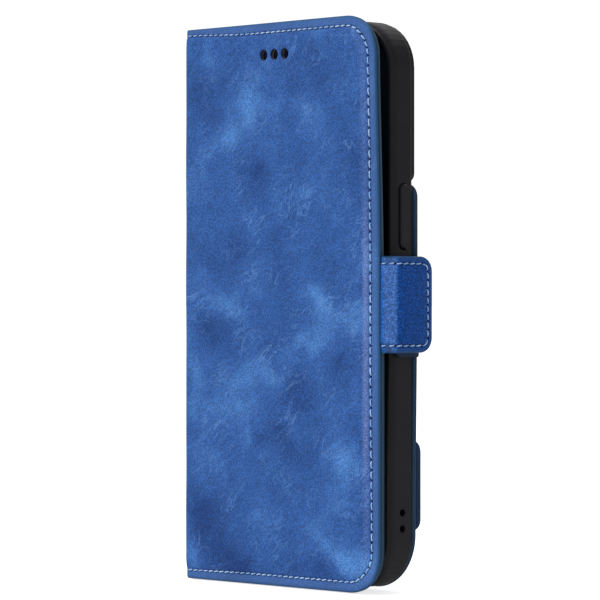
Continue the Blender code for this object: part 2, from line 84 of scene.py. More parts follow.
# Points along a tight corner's arc, and the least gap that they keep to the seam's other points
ARC_STEPS = 9
ARC_GAP = 0.09


def span(node):
    """A CAD node's lowest and highest corners in millimetres."""
    low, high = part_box(node)
    return low / MM, high / MM


COVER_LOW, COVER_HIGH = span("front_leather")
BACK_HIGH = span("back_leather")[1]
CLASP_LOW, CLASP_HIGH = span("clasp_leather")
KEEPER_LOW, KEEPER_HIGH = span("keeper_leather")
STAND_LOW, STAND_HIGH = span("stand_leather")
ANCHOR_LOW, ANCHOR_HIGH = span("stand_anchor")

SPINE_X = span("spine_leather")[0].x
FRONT_Y = COVER_LOW.y
BACK_Y = BACK_HIGH.y
MIDDLE_Y = (FRONT_Y + BACK_Y) / 2
TOP_Z = COVER_HIGH.z
FORE_X = COVER_HIGH.x

COVER_CORNER = 12.0
BACK_CORNER = 16.0
# The inner corner of the camera notch
NOTCH_X = -10.6
NOTCH_Z = 119.3
CLASP_CORNER = 4.4
KEEPER_CORNER = 3.0
STAND_CORNER = 3.5
POCKET_CORNER = 3.2
# The pockets are this much narrower than their CAD nodes. Their corners and the board's are tighter
# than the cover's by this much
POCKET_SHY = 1.6
POCKET_INSET = 0.6
BOARD_INSET = 3.7
# A lining's edge is this far inside the leather's
LINING_SHY = 0.1
# The middle ear hole, the distance to the next one, and their size
EAR_HOLE_X = -2.8
EAR_HOLE_Z = 158.4
EAR_HOLE_PITCH = 4.65
EAR_HOLE_RADIUS = 1.6
LINING_DEPTH = span("front_lining")[1].y - FRONT_Y
SPINE_LINING_X = span("spine_lining")[1].x
BACK_LINING_Y = span("back_lining")[0].y

# How far past its tight corner a lining keeps the close grid of its fold
LINING_SPREAD = 3.6

# The cover's free top corner stands off the tray a little, from this height up
BOW = 1.7
BOW_FROM_Z = 92.0

# The made-up cover is a little narrower than its allowance
COVER_SHY = 0.5

# How far the top and bottom seams run closer to their edges, along the cover and beside the spine
SEAM_RISE = (0.4, 1.4)
SEAM_DROP = (0.25, 0.7)

# How far the fore-edge seam runs closer to its edge, at the bottom and at the top
SEAM_SLIP = (0.6, 0.45)

# The back leather stands off the tray between these heights, and so up to the camera notch
BACK_BULGE = 0.8
BULGE_Z = (8.0, 102.0)

# The back leather's bottom edge rises a little towards the fore-edge
BACK_RISE = 0.7



# ---- lines and sections --------------------------------------------------------------------------


class Path:
    """Straight stretches joined by arcs, through corners (across, up, radius)."""

    def __init__(self, corners):
        self.stretches = []
        self.length = 0.0
        places = [Vector(corner[:2]) for corner in corners]
        here = places[0]
        for before, corner, after, spec in zip(places, places[1:], places[2:], corners[1:]):
            into, out = (corner - before).normalized(), (after - corner).normalized()
            turn = math.atan2(into.x * out.y - into.y * out.x, into.dot(out))
            reach = spec[2] * math.tan(abs(turn) / 2)
            start = corner - into * reach
            self.add(here, into, (start - here).length, 0.0)
            self.add(start, into, spec[2] * abs(turn), turn)
            here = corner + out * reach
        direction = (places[-1] - places[-2]).normalized()
        self.add(here, direction, (places[-1] - here).length, 0.0)

    def add(self, start, direction, length, turn):
        if length > 1e-6:
            self.stretches.append((self.length, start, direction, length, turn))
            self.length += length

    def at(self, distance):
        """The point at a distance along the path, and the direction to the right of travel there."""
        stretch = self.stretches[0]
        for candidate in self.stretches:
            if distance >= candidate[0]:
                stretch = candidate
        begin, start, direction, length, turn = stretch
        along = distance - begin
        if turn == 0.0:
            return start + direction * along, Vector((direction.y, -direction.x))
        swing = turn * along / length
        side = Vector((-direction.y, direction.x)) * math.copysign(1.0, turn)
        centre = start + side * (length / abs(turn))
        spoke = start - centre
        cos, sin = math.cos(swing), math.sin(swing)
        turned = Vector((spoke.x * cos - spoke.y * sin, spoke.x * sin + spoke.y * cos))
        heading = Vector((direction.x * cos - direction.y * sin, direction.x * sin + direction.y * cos))
        return centre + turned, Vector((heading.y, -heading.x))


def inset_run(corners, distance, closed=False):
    """An outline's corners moved inwards, to the left of travel. The ends slide along their own lines."""
    moved = []
    count = len(corners)
    for i, (across, up, radius) in enumerate(corners):
        here = Vector((across, up))
        first, last = i == 0, i == count - 1
        into = (here - Vector(corners[i - 1][:2])).normalized() if closed or not first else None
        out = (Vector(corners[(i + 1) % count][:2]) - here).normalized() if closed or not last else None
        shift = Vector((0.0, 0.0))
        for side in (into, out):
            if side is not None:
                shift += Vector((-side.y, side.x)) * distance
        if into is not None and out is not None:
            turns_left = into.x * out.y - into.y * out.x > 0
            radius = radius - distance if turns_left else radius + distance
        moved.append((here.x + shift.x, here.y + shift.y, max(radius, 0.05)))
    return moved


def stitch_marks(path, pitch):
    """Where each stitch of a seam begins, and last the seam's end. pitch is (across, up)."""
    marks = []
    for begin, _, direction, length, turn in path.stretches:
        size = pitch[1] if abs(direction.y) > abs(direction.x) and not turn else pitch[0]
        count = max(1, round(length / size))
        marks += [begin + length * k / count for k in range(count)]
    return [*marks, path.length]


def seam_path(corners, distance, closed=False):
    """The line at a distance inside an outline. A closed line starts in the middle of its last side."""
    moved = inset_run(corners, distance, closed)
    if closed:
        middle = ((moved[0][0] + moved[-1][0]) / 2, (moved[0][1] + moved[-1][1]) / 2, 0.0)
        moved = [middle, *moved, middle]
    return Path(moved)


class Section:
    """Bends a flat pattern along a path in X and Y. side is 1 where the outer face is to its right.

    shift moves a place forwards, slide moves it up and slip moves it on along the section, all three
    for the whole thickness of the sheet.
    """

    def __init__(self, corners, side=1, shift=None, slide=None, slip=None):
        self.path = Path(corners)
        self.length = self.path.length
        self.side = side
        self.shift = shift
        self.slide = slide
        self.slip = slip

    def place(self, s, z, h):
        if self.slip:
            s += self.slip(s, z)
        if self.slide:
            z += self.slide(s, z)
        point, right = self.path.at(s)
        point = point + right * (self.side * h)
        y = point.y - self.shift(point.x, z) if self.shift else point.y
        return Vector((point.x, y, z)) * MM


def smooth(value):
    value = min(max(value, 0.0), 1.0)
    return value * value * (3 - 2 * value)


def cover_bow(x, z):
    """How far the cover stands out: nothing at the spine and below the clasp, most at its top corner."""
    across = smooth((x - SPINE_X - 8.0) / (FORE_X - SPINE_X - 8.0))
    return BOW * across * smooth((z - BOW_FROM_Z) / (TOP_Z - BOW_FROM_Z))


def back_bulge(x, z):
    """How far the back leather stands in, so less than nothing: its fore-edge side bulges outwards."""
    across = smooth((x - SPINE_X - 30.0) / (BACK_HIGH.x - SPINE_X - 30.0))
    low, high = BULGE_Z
    return -BACK_BULGE * across * smooth((z - low) / (high - low)) * smooth((TOP_Z - z) / 30.0)


# ---- leather tone --------------------------------------------------------------------------------

# Where the leather has pulled up lighter or stayed dark: distance from the spine, height, reach
# across and up, tilt in degrees, and strength
PULL_UP = (
    (12, 161, 4, 5, 0, 0.4), (20, 136, 3.0, 7, -10, 0.8), (13, 131, 7, 2.5, 35, 0.6),
    (29, 142, 4, 4.5, 0, 1.0), (42, 144, 9, 2.4, 6, 0.5), (54, 139, 5, 5, 30, 0.45),
    (51, 115, 5, 5, 20, 0.3), (30, 107, 4, 5, 0, 0.4), (45, 101, 4, 1.5, 8, 0.4),
    (16, 85, 13, 3.0, -30, 0.75), (60, 85, 9, 3.6, -28, 0.9), (73, 80, 6, 4, 10, 0.6),
    (53, 72, 10, 3, 14, 0.8), (39, 63, 7, 3, 5, 0.7), (26, 63, 8, 3, 10, 0.65),
    (20, 52, 9, 8, 0, 0.75), (29, 45, 3, 4, 0, 0.5), (69, 39, 5, 5, -20, 0.8),
    (66, 24, 5, 2, 25, 0.6), (62, 14, 8, 4, -30, 0.7), (72, 8, 7, 4, -20, 0.8),
    (4, 59, 4, 9, 0, 0.4), (3, 8, 4, 6, 0, 0.5), (34, 19, 7, 1.5, -8, 0.3),
    (9, 146, 8, 8, 0, -0.6), (32, 124, 6, 8, -10, -0.7), (68, 121, 8, 10, 0, -0.4),
    (22, 98, 9, 8, 20, -0.5), (41, 91, 5, 8, 0, -0.5), (14, 76, 11, 5, -20, -0.5),
    (49, 57, 7, 8, 0, -0.7), (42, 43, 11, 6, -30, -0.8), (70, 66, 8, 6, 0, -0.4),
    (9, 19, 10, 8, 0, -0.8), (22, 7, 9, 6, 0, -1.0), (54, 6, 9, 4, 0, -0.5), (62, 155, 13, 6, 0, -0.3),
)


def leather_tone(s, z):
    """The broad cloudy lightness of the leather, about -1 to 1, over the whole wrapped hide."""
    at_spine = BACK_Y - MIDDLE_Y
    wave = Vector((noise.noise(Vector((s, z, 3.0)) / 9.0), noise.noise(Vector((s, z, 9.0)) / 9.0), 0.0))
    across, up = s + wave.x * 4.0, z + wave.y * 4.0
    tone = 0.35 * noise.noise(Vector((across, up, 0.0)) / 16.0)
    if s > 0.0:
        for from_spine, height, reach, rise, tilt, strength in PULL_UP:
            a, b = across - at_spine - from_spine, up - height
            cos, sin = math.cos(math.radians(tilt)), math.sin(math.radians(tilt))
            far = ((a * cos + b * sin) / reach) ** 2 + ((b * cos - a * sin) / rise) ** 2
            if far < 9.0:
                tone += strength * math.exp(-far) * smooth(s / 12.0)
    fade = 1.0 - smooth(s / 12.0) if s > 0.0 else 1.0
    return tone + fade * 0.9 * noise.noise(Vector((across, up, 5.0)) / 12.0)


# ---- sewn panels ---------------------------------------------------------------------------------


def edge_profile(depth, seam_depth, drop, deepest=6.2, rim=None, rim_depth=None, seam=SEAM_INSET):
    """The way round a padded edge, from the inside of its back face to the inside of its front face.

    It has a cut and painted side, a flat border, a seam channel, and a roll up to the face. Each entry
    is (inset, height, paint).
    """
    rim_depth = depth if rim_depth is None else rim_depth
    entries = [(deepest, -depth, 0.0)]
    if rim is not None:
        entries += [(rim + 0.15, -depth, 0.0), (rim, -rim_depth, 0.0)]
    border = -drop
    side = min(0.3, (rim_depth - drop) * 0.3)
    entries += [
        (0.5, -rim_depth, 0.0),
        (0.14, -rim_depth + side * 0.3, 1.0),
        (0.0, -rim_depth + side, 1.0),
        (-0.04, (border - rim_depth) / 2, 1.0),
        (0.0, border - side * 1.2, 1.0),
        (0.18, border - side * 0.55, 0.85),
        (0.5, border - side * 0.18, 0.5),
        (0.95, border - side * 0.04, 0.2),
        (BORDER_INSET, border, 0.0),
        (seam - 0.9, border, 0.0),
        (seam - 0.42, border - seam_depth * 0.15, 0.0),
        (seam - 0.2, border - seam_depth * 0.7, 0.0),
        (seam, border - seam_depth, 0.0),
        (seam + 0.2, border - seam_depth * 0.7, 0.0),
        (seam + 0.42, border * 0.8 - seam_depth * 0.1, 0.0),
    ]
    room = deepest - seam - 0.42
    for share in (0.2, 0.4, 0.62, 0.8):
        roll = (1 - share) ** 2
        entries.append((seam + 0.42 + room * share, border * 0.8 * roll, 0.0))
    entries.append((deepest, 0.0, 0.0))
    return entries


def thin_at_spine(profile, depth):
    """A profile whose rim grows from depth to its whole thickness as the panel's thickness goes to 1."""
    return [(inset, max(height, -depth), paint, max(-depth - height, 0.0))
            for inset, height, paint in profile]


def tapering(profile, depth, under):
    """A profile whose back face, all that lies lower than under, follows the panel's own thickness."""
    return [(inset, height + depth, paint, 1.0) if height < -under else (inset, height, paint, 0.0)
            for inset, height, paint in profile]


def growing(thin, full, start, reach):
    """A thickness that grows along the section from thin to full, over a reach from start."""
    return lambda s: thin + (full - thin) * smooth((s - start) / reach)


# A hole's rim: how far outside the hole, share of the sheet's depth, dip below the face, and darkness, which
# is painted shade deepening into the hole
HOLE_RIM = (
    (0.6, 0.0, 0.0, 0.0),
    (0.4, 0.0, 0.04, 0.0),
    (0.15, 0.0, 0.14, 0.1),
    (0.0, 0.3, 0.1, 0.35),
    (0.0, 0.8, 0.0, 0.7),
    (0.6, 1.0, 0.0, 1.0),
)


def flat_profile(depth, seam_depth=0.12, deepest=3.4):
    """A thin flat sheet's edge, with only the seam pressed in."""
    return edge_profile(depth, seam_depth, 0.0, deepest)


def inside(points, outline):
    """Which points lie inside a closed outline."""
    x, y = points[:, 0], points[:, 1]
    ring = np.asarray(outline)
    result = np.zeros(len(points), bool)
    for (x0, y0), (x1, y1) in zip(ring, np.roll(ring, -1, axis=0)):
        if y0 != y1:
            crosses = (y0 > y) != (y1 > y)
            result ^= crosses & (x < (x1 - x0) * (y - y0) / (y1 - y0) + x0)
    return result


def nearest(points, outline):
    """Each point's distance to the nearest corner of an outline."""
    ring = np.asarray(outline)
    best = np.full(len(points), np.inf)
    for start in range(0, len(ring), 64):
        part = ring[start:start + 64]
        gaps = np.linalg.norm(points[:, None, :] - part[None, :, :], axis=2)
        best = np.minimum(best, gaps.min(axis=1))
    return best


def grid_lines(low, high, folds, step=GRID_STEP):
    """Places from low to high, closer together inside the folds."""
    lines, here = [], low
    while here < high:
        lines.append(here)
        bending = any(a - FOLD_STEP <= here < b for a, b in folds)
        here += FOLD_STEP if bending else step
    return lines


class Panel:
    """One sewn sheet: a ring of profile strips round its edge, and a triangle grid inside them."""

    def __init__(self, corners, profile, closed=False, folds=(), holes=(), pits=None, step=GRID_STEP,
                 thickness=None, crown=None, seam=SEAM_INSET, channel=None, highlight_strength=None, pitch=STITCH):
        self.corners, self.profile, self.closed = corners, profile, closed
        self.folds, self.holes, self.step, self.seam, self.pitch = folds, holes, step, seam, pitch
        self.pits = pits or (lambda s, z: False)
        self.thickness = thickness or (lambda s: 0.0)
        self.crown = crown or (lambda s, z: 0.0)
        self.channel = channel or (lambda s: 1.0)
        # This setting gives the strength of the painted highlight along the fore-edge roll
        self.highlight_strength = highlight_strength or (lambda s, z: 0.0)
        self.points, self.faces = [], []
        self.paint, self.pit, self.border, self.painted_highlight = [], [], [], []
        self.edge_rings()
        self.fill()

    def add(self, s, z, h, paint=0.0, pit=0.0, border=0.0, painted_highlight=0.0):
        self.points.append((s, z, h))
        self.paint.append(paint)
        self.pit.append(pit)
        self.border.append(border)
        self.painted_highlight.append(painted_highlight)
        return len(self.points) - 1

    def samples(self):
        """Points along the seam, with their outward direction and needle-hole depth, closer in the arcs."""
        path = seam_path(self.corners, self.seam, self.closed)
        marks = stitch_marks(path, self.pitch)
        steps = [(start + (end - start) * share, mark) for start, end in zip(marks, marks[1:])
                 for share, mark in STITCH_STEPS]
        if not self.closed:
            steps.append((path.length, 0.0))
        known = [place for place, _ in steps]
        depths = [mark for _, mark in steps]
        for begin, _, _, length, turn in path.stretches:
            if turn and length < 2 * max(self.pitch):
                for k in range(ARC_STEPS + 1):
                    place = begin + length * k / ARC_STEPS
                    if min(abs(place - other) for other in known) > ARC_GAP:
                        steps.append((place, float(np.interp(place, known, depths))))
        return [(*path.at(place), mark) for place, mark in sorted(steps)]

    def edge_rings(self):
        samples = self.samples()
        count = len(samples)
        self.rings = []
        last = len(self.profile) - 1
        front = [i for i, entry in enumerate(self.profile) if entry[0] == self.seam][-1]
        flat_border = [entry[1] for entry in self.profile if entry[0] == BORDER_INSET][-1]
        deepest = self.profile[-1][0]
        for level, entry in enumerate(self.profile):
            inset, height, paint = entry[:3]
            share = entry[3] if len(entry) > 3 else 0.0
            ring = []
            for point, outward, mark in samples:
                s, z = point + outward * (self.seam - inset)
                h = height - share * self.thickness(s)
                if abs(level - front) < 3:
                    h += (1 - self.channel(s)) * (flat_border - height)
                painted_highlight = 0.0
                if level > front:
                    h += self.crown(s, z) * smooth((inset - self.seam) / (deepest - self.seam))
                    roll = (inset - self.seam - 0.3) / (deepest - self.seam - 0.3)
                    # On the fore-edge side only, the roll inside the seam gets a painted highlight
                    painted_highlight = 16 * max(roll * (1 - roll), 0.0) ** 2 * max(outward.x, 0.0) * self.highlight_strength(s, z)
                # A needle hole's depth is also painted dark, as painted shade in the hole
                sunk = mark * PIT_SPREAD.get(abs(level - front), 0.0)
                sunk *= self.pits(s, z)
                border = smooth((self.seam - inset) / 0.8) * (level < front)
                ring.append(self.add(s, z, h - sunk * PIT_DEPTH, paint, sunk, border, painted_highlight))
            self.rings.append(ring)
        turns = count if self.closed else count - 1
        for level in range(last):
            near, far = self.rings[level], self.rings[level + 1]
            for i in range(turns):
                j = (i + 1) % count
                self.faces.append((near[i], near[j], far[j], far[i]))

    def flat(self, indices):
        return [self.points[i][:2] for i in indices]

    def fill(self):
        """The front and back faces inside the rings, the rims of the holes and the open side's end."""
        top, bottom = self.rings[-1], self.rings[0]
        outline = self.flat(top)
        column = []
        if not self.closed:
            (s0, z0), (s1, z1) = outline[-1], outline[0]
            pieces = max(2, round(math.dist((s0, z0), (s1, z1)) / self.step))
            for k in range(1, pieces):
                share = k / pieces
                bow = COLUMN_BOW * share * (1 - share)
                column.append((s0 + (s1 - s0) * share - bow, z0 + (z1 - z0) * share))
        boundary = outline + column
        rims = [self.hole_circle(hole, HOLE_RIM[0][0]) for hole in self.holes]
        ring = np.array(boundary)
        low, high = ring.min(axis=0), ring.max(axis=0)
        lines = grid_lines(low[0] + self.step * 0.6, high[0], self.folds, self.step)
        rows = np.arange(low[1] + self.step * 0.6, high[1], self.step)
        grid = np.array([(a, b) for a in lines for b in rows]).reshape(-1, 2)
        if len(grid):
            near_fold = np.zeros(len(grid), bool)
            for a, b in self.folds:
                near_fold |= (grid[:, 0] > a - self.step) & (grid[:, 0] < b + self.step)
            margin = np.where(near_fold, FOLD_STEP * 0.8, self.step * 0.45)
            grid = grid[inside(grid, boundary) & (nearest(grid, boundary) > margin)]
        for hole in self.holes:
            away = np.linalg.norm(grid - np.array(hole[:2]), axis=1)
            grid = grid[away > hole[2] + HOLE_RIM[0][0] + 0.5]
        loops = [boundary, *rims]
        places, edges = [], []
        for loop in loops:
            first = len(places)
            places += loop
            edges += [(first + i, first + (i + 1) % len(loop)) for i in range(len(loop))]
        fixed = len(places)
        places += [tuple(p) for p in grid]
        made = delaunay_2d_cdt([Vector(p) for p in places], edges, [], 0, 1e-7)
        origin = [sources[0] for sources in made[3]]
        triangles = np.array([[origin[v] for v in face] for face in made[2]])
        spots = np.array(places)
        centres = spots[triangles].mean(axis=1)
        keep = inside(centres, boundary)
        for rim in rims:
            keep &= ~inside(centres, rim)
        triangles = triangles[keep]

        front, back = list(top), list(bottom)
        for s, z in column:
            front.append(self.add(s, z, self.crown(s, z)))
            back.append(self.add(s, z, self.back_height(s)))
        hole_rings = self.add_holes()
        for rings in hole_rings:
            front += rings[0]
            back += rings[-1]
        for s, z in places[fixed:]:
            front.append(self.add(s, z, self.crown(s, z)))
            back.append(self.add(s, z, self.back_height(s)))
        for a, b, c in triangles:
            self.faces.append((front[a], front[b], front[c]))
            self.faces.append((back[c], back[b], back[a]))
        if not self.closed:
            first, past = len(top), len(top) + len(column)
            start_side = [ring[0] for ring in self.rings]
            end_side = [ring[-1] for ring in reversed(self.rings)]
            self.faces.append(tuple(start_side + front[first:past][::-1] + end_side + back[first:past]))

    def back_height(self, s):
        entry = self.profile[0]
        share = entry[3] if len(entry) > 3 else 0.0
        return entry[1] - share * self.thickness(s)

    def hole_circle(self, hole, extra):
        s, z, radius = hole
        turn = 2 * math.pi / CORNER_STEPS
        reach = radius + extra
        return [(s + reach * math.cos(i * turn), z + reach * math.sin(i * turn))
                for i in range(CORNER_STEPS)]

    def add_holes(self):
        """Each hole's rings, from its rolled rim on the front, through the sheet, to the back."""
        found = []
        for hole in self.holes:
            rings = []
            for extra, share, dip, dark in HOLE_RIM:
                ring = []
                for s, z in self.hole_circle(hole, extra):
                    face = self.crown(s, z)
                    h = face + (self.back_height(s) - face) * share - dip
                    # The rim's darkness is painted shade, deepening into the hole
                    ring.append(self.add(s, z, h, 0.0, dark))
                rings.append(ring)
            for near, far in zip(rings, rings[1:]):
                for i in range(CORNER_STEPS):
                    j = (i + 1) % CORNER_STEPS
                    self.faces.append((near[i], near[j], far[j], far[i]))
            found.append(rings)
        return found


def build(name, panel, section, look, hide_sign=1.0, tone=leather_tone):
    """Bend a panel along its section and make it an object."""
    places = [section.place(s, z, h) for s, z, h in panel.points]
    mesh = bpy.data.meshes.new(name)
    mesh.from_pydata(places, [], panel.faces)
    shape = bmesh.new()
    shape.from_mesh(mesh)
    if shape.calc_volume(signed=True) < 0:
        bmesh.ops.reverse_faces(shape, faces=shape.faces)
    loose = [face for face in shape.faces if len(face.verts) == 3]
    bmesh.ops.join_triangles(shape, faces=loose, angle_face_threshold=0.2, angle_shape_threshold=0.7)
    shape.to_mesh(mesh)
    shape.free()
    mesh.shade_smooth()
    mesh.set_sharp_from_angle(angle=math.radians(50.0))
    flat = [(hide_sign * s, z, h) for s, z, h in panel.points]
    store(mesh, "flat", "FLOAT_VECTOR", "vector", flat)
    store(mesh, "paint", "FLOAT", "value", panel.paint)
    store(mesh, "pit", "FLOAT", "value", panel.pit)
    store(mesh, "border", "FLOAT", "value", panel.border)
    store(mesh, "painted_highlight", "FLOAT", "value", panel.painted_highlight)
    store(mesh, "tone", "FLOAT", "value", [tone(hide_sign * s, z) for s, z, _ in panel.points])
    return add_object(name, mesh, look)


def store(mesh, name, kind, field, values):
    layer = mesh.attributes.new(name, kind, "POINT")
    layer.data.foreach_set(field, np.array(values, np.float32).ravel())


def add_object(name, mesh, look):
    made = bpy.data.objects.new(name, mesh)
    bpy.context.scene.collection.objects.link(made)
    mesh.materials.append(look)
    return made


# ---- stitching -----------------------------------------------------------------------------------

# Along one stitch: share of its length, height over the leather, and thickness
STITCH_SHAPE = (
    (0.1, -0.4, 0.6), (0.15, -0.12, 0.8), (0.23, 0.07, 0.95), (0.36, 0.16, 1.05), (0.5, 0.18, 1.1),
    (0.64, 0.16, 1.05), (0.77, 0.07, 0.95), (0.85, -0.12, 0.8), (0.9, -0.4, 0.6),
)
THREAD_SIDES = 8
PLIES = 2
PLY_TWIST = 2.5
STITCH_SLANT = 0.16


def stitches(name, corners, section, look, level, closed=False, wanted=None, seam=SEAM_INSET, pitch=STITCH):
    """A row of lockstitches along a seam, each a twisted thread that dives into its two needle holes."""
    path = seam_path(corners, seam, closed)
    marks = stitch_marks(path, pitch)
    points, faces = [], []
    for start, end in zip(marks, marks[1:]):
        middle = path.at((start + end) / 2)[0]
        if wanted is not None and not wanted(middle.x, middle.y):
            continue
        first = len(points)
        for share, lift, width in STITCH_SHAPE:
            point, outward = path.at(start + (end - start) * share)
            centre = point + outward * (STITCH_SLANT * (1 - 2 * share))
            for side in range(THREAD_SIDES):
                angle = 2 * math.pi * side / THREAD_SIDES
                ply = 1 + 0.14 * math.cos(PLIES * (angle - PLY_TWIST * math.pi * share))
                reach = THREAD_RADIUS * width * ply
                spot = centre + outward * (reach * math.cos(angle))
                points.append(section.place(spot.x, spot.y, level + lift + reach * math.sin(angle)))
        rings = len(STITCH_SHAPE)
        for r in range(rings - 1):
            for side in range(THREAD_SIDES):
                after = (side + 1) % THREAD_SIDES
                a, b = first + r * THREAD_SIDES, first + (r + 1) * THREAD_SIDES
                faces.append((a + side, a + after, b + after, b + side))
        faces.append(tuple(first + side for side in reversed(range(THREAD_SIDES))))
        tail = first + (rings - 1) * THREAD_SIDES
        faces.append(tuple(tail + side for side in range(THREAD_SIDES)))
    mesh = bpy.data.meshes.new(name)
    mesh.from_pydata(points, [], faces)
    shape = bmesh.new()
    shape.from_mesh(mesh)
    bmesh.ops.recalc_face_normals(shape, faces=shape.faces)
    shape.to_mesh(mesh)
    shape.free()
    mesh.shade_smooth()
    return add_object(name, mesh, look)


# ---- materials -----------------------------------------------------------------------------------


class Look:
    """A procedural material and the few node shapes that the materials here share."""

    def __init__(self, name, roughness, metallic=0.0, specular=0.5):
        self.material = bpy.data.materials.new(name)
        self.material.use_nodes = True
        self.tree = self.material.node_tree
        self.shader = self.tree.nodes["Principled BSDF"]
        self.shader.inputs["Roughness"].default_value = roughness
        self.shader.inputs["Metallic"].default_value = metallic
        self.shader.inputs["Specular IOR Level"].default_value = specular

    def node(self, kind, inputs=(), **settings):
        made = self.tree.nodes.new(kind)
        for key, value in settings.items():
            setattr(made, key, value)
        for key, value in dict(inputs).items():
            if isinstance(value, bpy.types.NodeSocket):
                self.tree.links.new(value, made.inputs[key])
            else:
                made.inputs[key].default_value = value
        return made

    def attribute(self, name, output="Fac"):
        return self.node("ShaderNodeAttribute", attribute_name=name).outputs[output]

    def pattern(self):
        """Coordinates in millimetres on the flat pattern."""
        return self.attribute("flat", "Vector")

    def object_pattern(self, stretch=(1.0, 1.0, 1.0)):
        """Coordinates in millimetres on the object itself."""
        place = self.node("ShaderNodeTexCoord").outputs["Object"]
        scale = tuple(1000.0 * share for share in stretch)
        return self.node("ShaderNodeMapping", {"Vector": place, "Scale": scale}).outputs["Vector"]

    def turned(self, vector, angle, stretch):
        """Coordinates that draw a pattern out along its own axes, after a turn in degrees."""
        turn = (0.0, 0.0, math.radians(angle))
        inputs = {"Vector": vector, "Rotation": turn, "Scale": stretch}
        return self.node("ShaderNodeMapping", inputs, vector_type="TEXTURE").outputs[0]

    def noise(self, vector, size, detail=3.0, roughness=0.55, distortion=0.0):
        inputs = {"Vector": vector, "Scale": 1.0 / size, "Detail": detail, "Roughness": roughness,
                  "Distortion": distortion}
        return self.node("ShaderNodeTexNoise", inputs).outputs["Fac"]

    def cells(self, vector, size):
        inputs = {"Vector": vector, "Scale": 1.0 / size}
        return self.node("ShaderNodeTexVoronoi", inputs).outputs["Distance"]

    def pushed(self, vector, amount, reach):
        """Coordinates pushed about, by an amount times reach both across and up."""
        both = self.node("ShaderNodeCombineXYZ", {0: amount, 1: amount}).outputs[0]
        inputs = {0: both, 1: (reach, reach, 0.0)}
        push = self.node("ShaderNodeVectorMath", inputs, operation="MULTIPLY").outputs[0]
        return self.node("ShaderNodeVectorMath", {0: vector, 1: push}, operation="ADD").outputs[0]

    def math(self, operation, a, b=0.0, c=0.5, clamp=False):
        """One operation on two values. MULTIPLY_ADD takes three, and gives a times b plus c."""
        made = self.node("ShaderNodeMath", {0: a, 1: b, 2: c}, operation=operation, use_clamp=clamp)
        return made.outputs[0]

    def remap(self, value, low, high, out_low=0.0, out_high=1.0):
        inputs = {"Value": value, "From Min": low, "From Max": high, "To Min": out_low, "To Max": out_high}
        return self.node("ShaderNodeMapRange", inputs).outputs["Result"]

    def mix(self, a, b, factor):
        made = self.node("ShaderNodeMix", data_type="RGBA")
        for index, value in ((0, factor), (6, a), (7, b)):
            if isinstance(value, bpy.types.NodeSocket):
                self.tree.links.new(value, made.inputs[index])
            elif index == 0:
                made.inputs[index].default_value = value
            else:
                made.inputs[index].default_value = (*value, 1.0)
        return made.outputs[2]

    def shade(self, colour, factor):
        """A colour made lighter or darker by a value round 1."""
        made = self.node("ShaderNodeVectorMath", {0: colour}, operation="SCALE")
        self.tree.links.new(factor, made.inputs["Scale"])
        return made.outputs[0]

    def finish(self, colour, height, depth, strength=1.0, roughness=None):
        """Connect colour, roughness and a bump whose full height is depth millimetres."""
        links = self.tree.links
        links.new(colour, self.shader.inputs["Base Color"])
        if roughness is not None:
            links.new(roughness, self.shader.inputs["Roughness"])
        bump = self.node("ShaderNodeBump", {"Height": height, "Distance": depth * MM, "Strength": strength})
        links.new(bump.outputs["Normal"], self.shader.inputs["Normal"])
        return self.material


def linear(red, green, blue):
    """A display colour, 0 to 255, as the linear colour that a shader takes."""
    def convert(value):
        value /= 255.0
        return value / 12.92 if value <= 0.04045 else ((value + 0.055) / 1.055) ** 2.4
    return tuple(convert(value) for value in (red, green, blue))


LEATHER_DARK = linear(27, 66, 130)
LEATHER_BLUE = linear(50, 95, 166)
LEATHER_LIGHT = linear(80, 135, 206)
LEATHER_BORDER = linear(76, 108, 160)
# The colour of the painted highlight along the fore-edge roll
LEATHER_HIGHLIGHT = linear(132, 146, 200)
LEATHER_CREASE = linear(112, 156, 216)
EDGE_TEAL = linear(36, 76, 116)
# Painted shade in the needle holes and in the ear holes
NEEDLE_SHADE = linear(10, 32, 78)
HOLE_SHADE = linear(6, 10, 18)


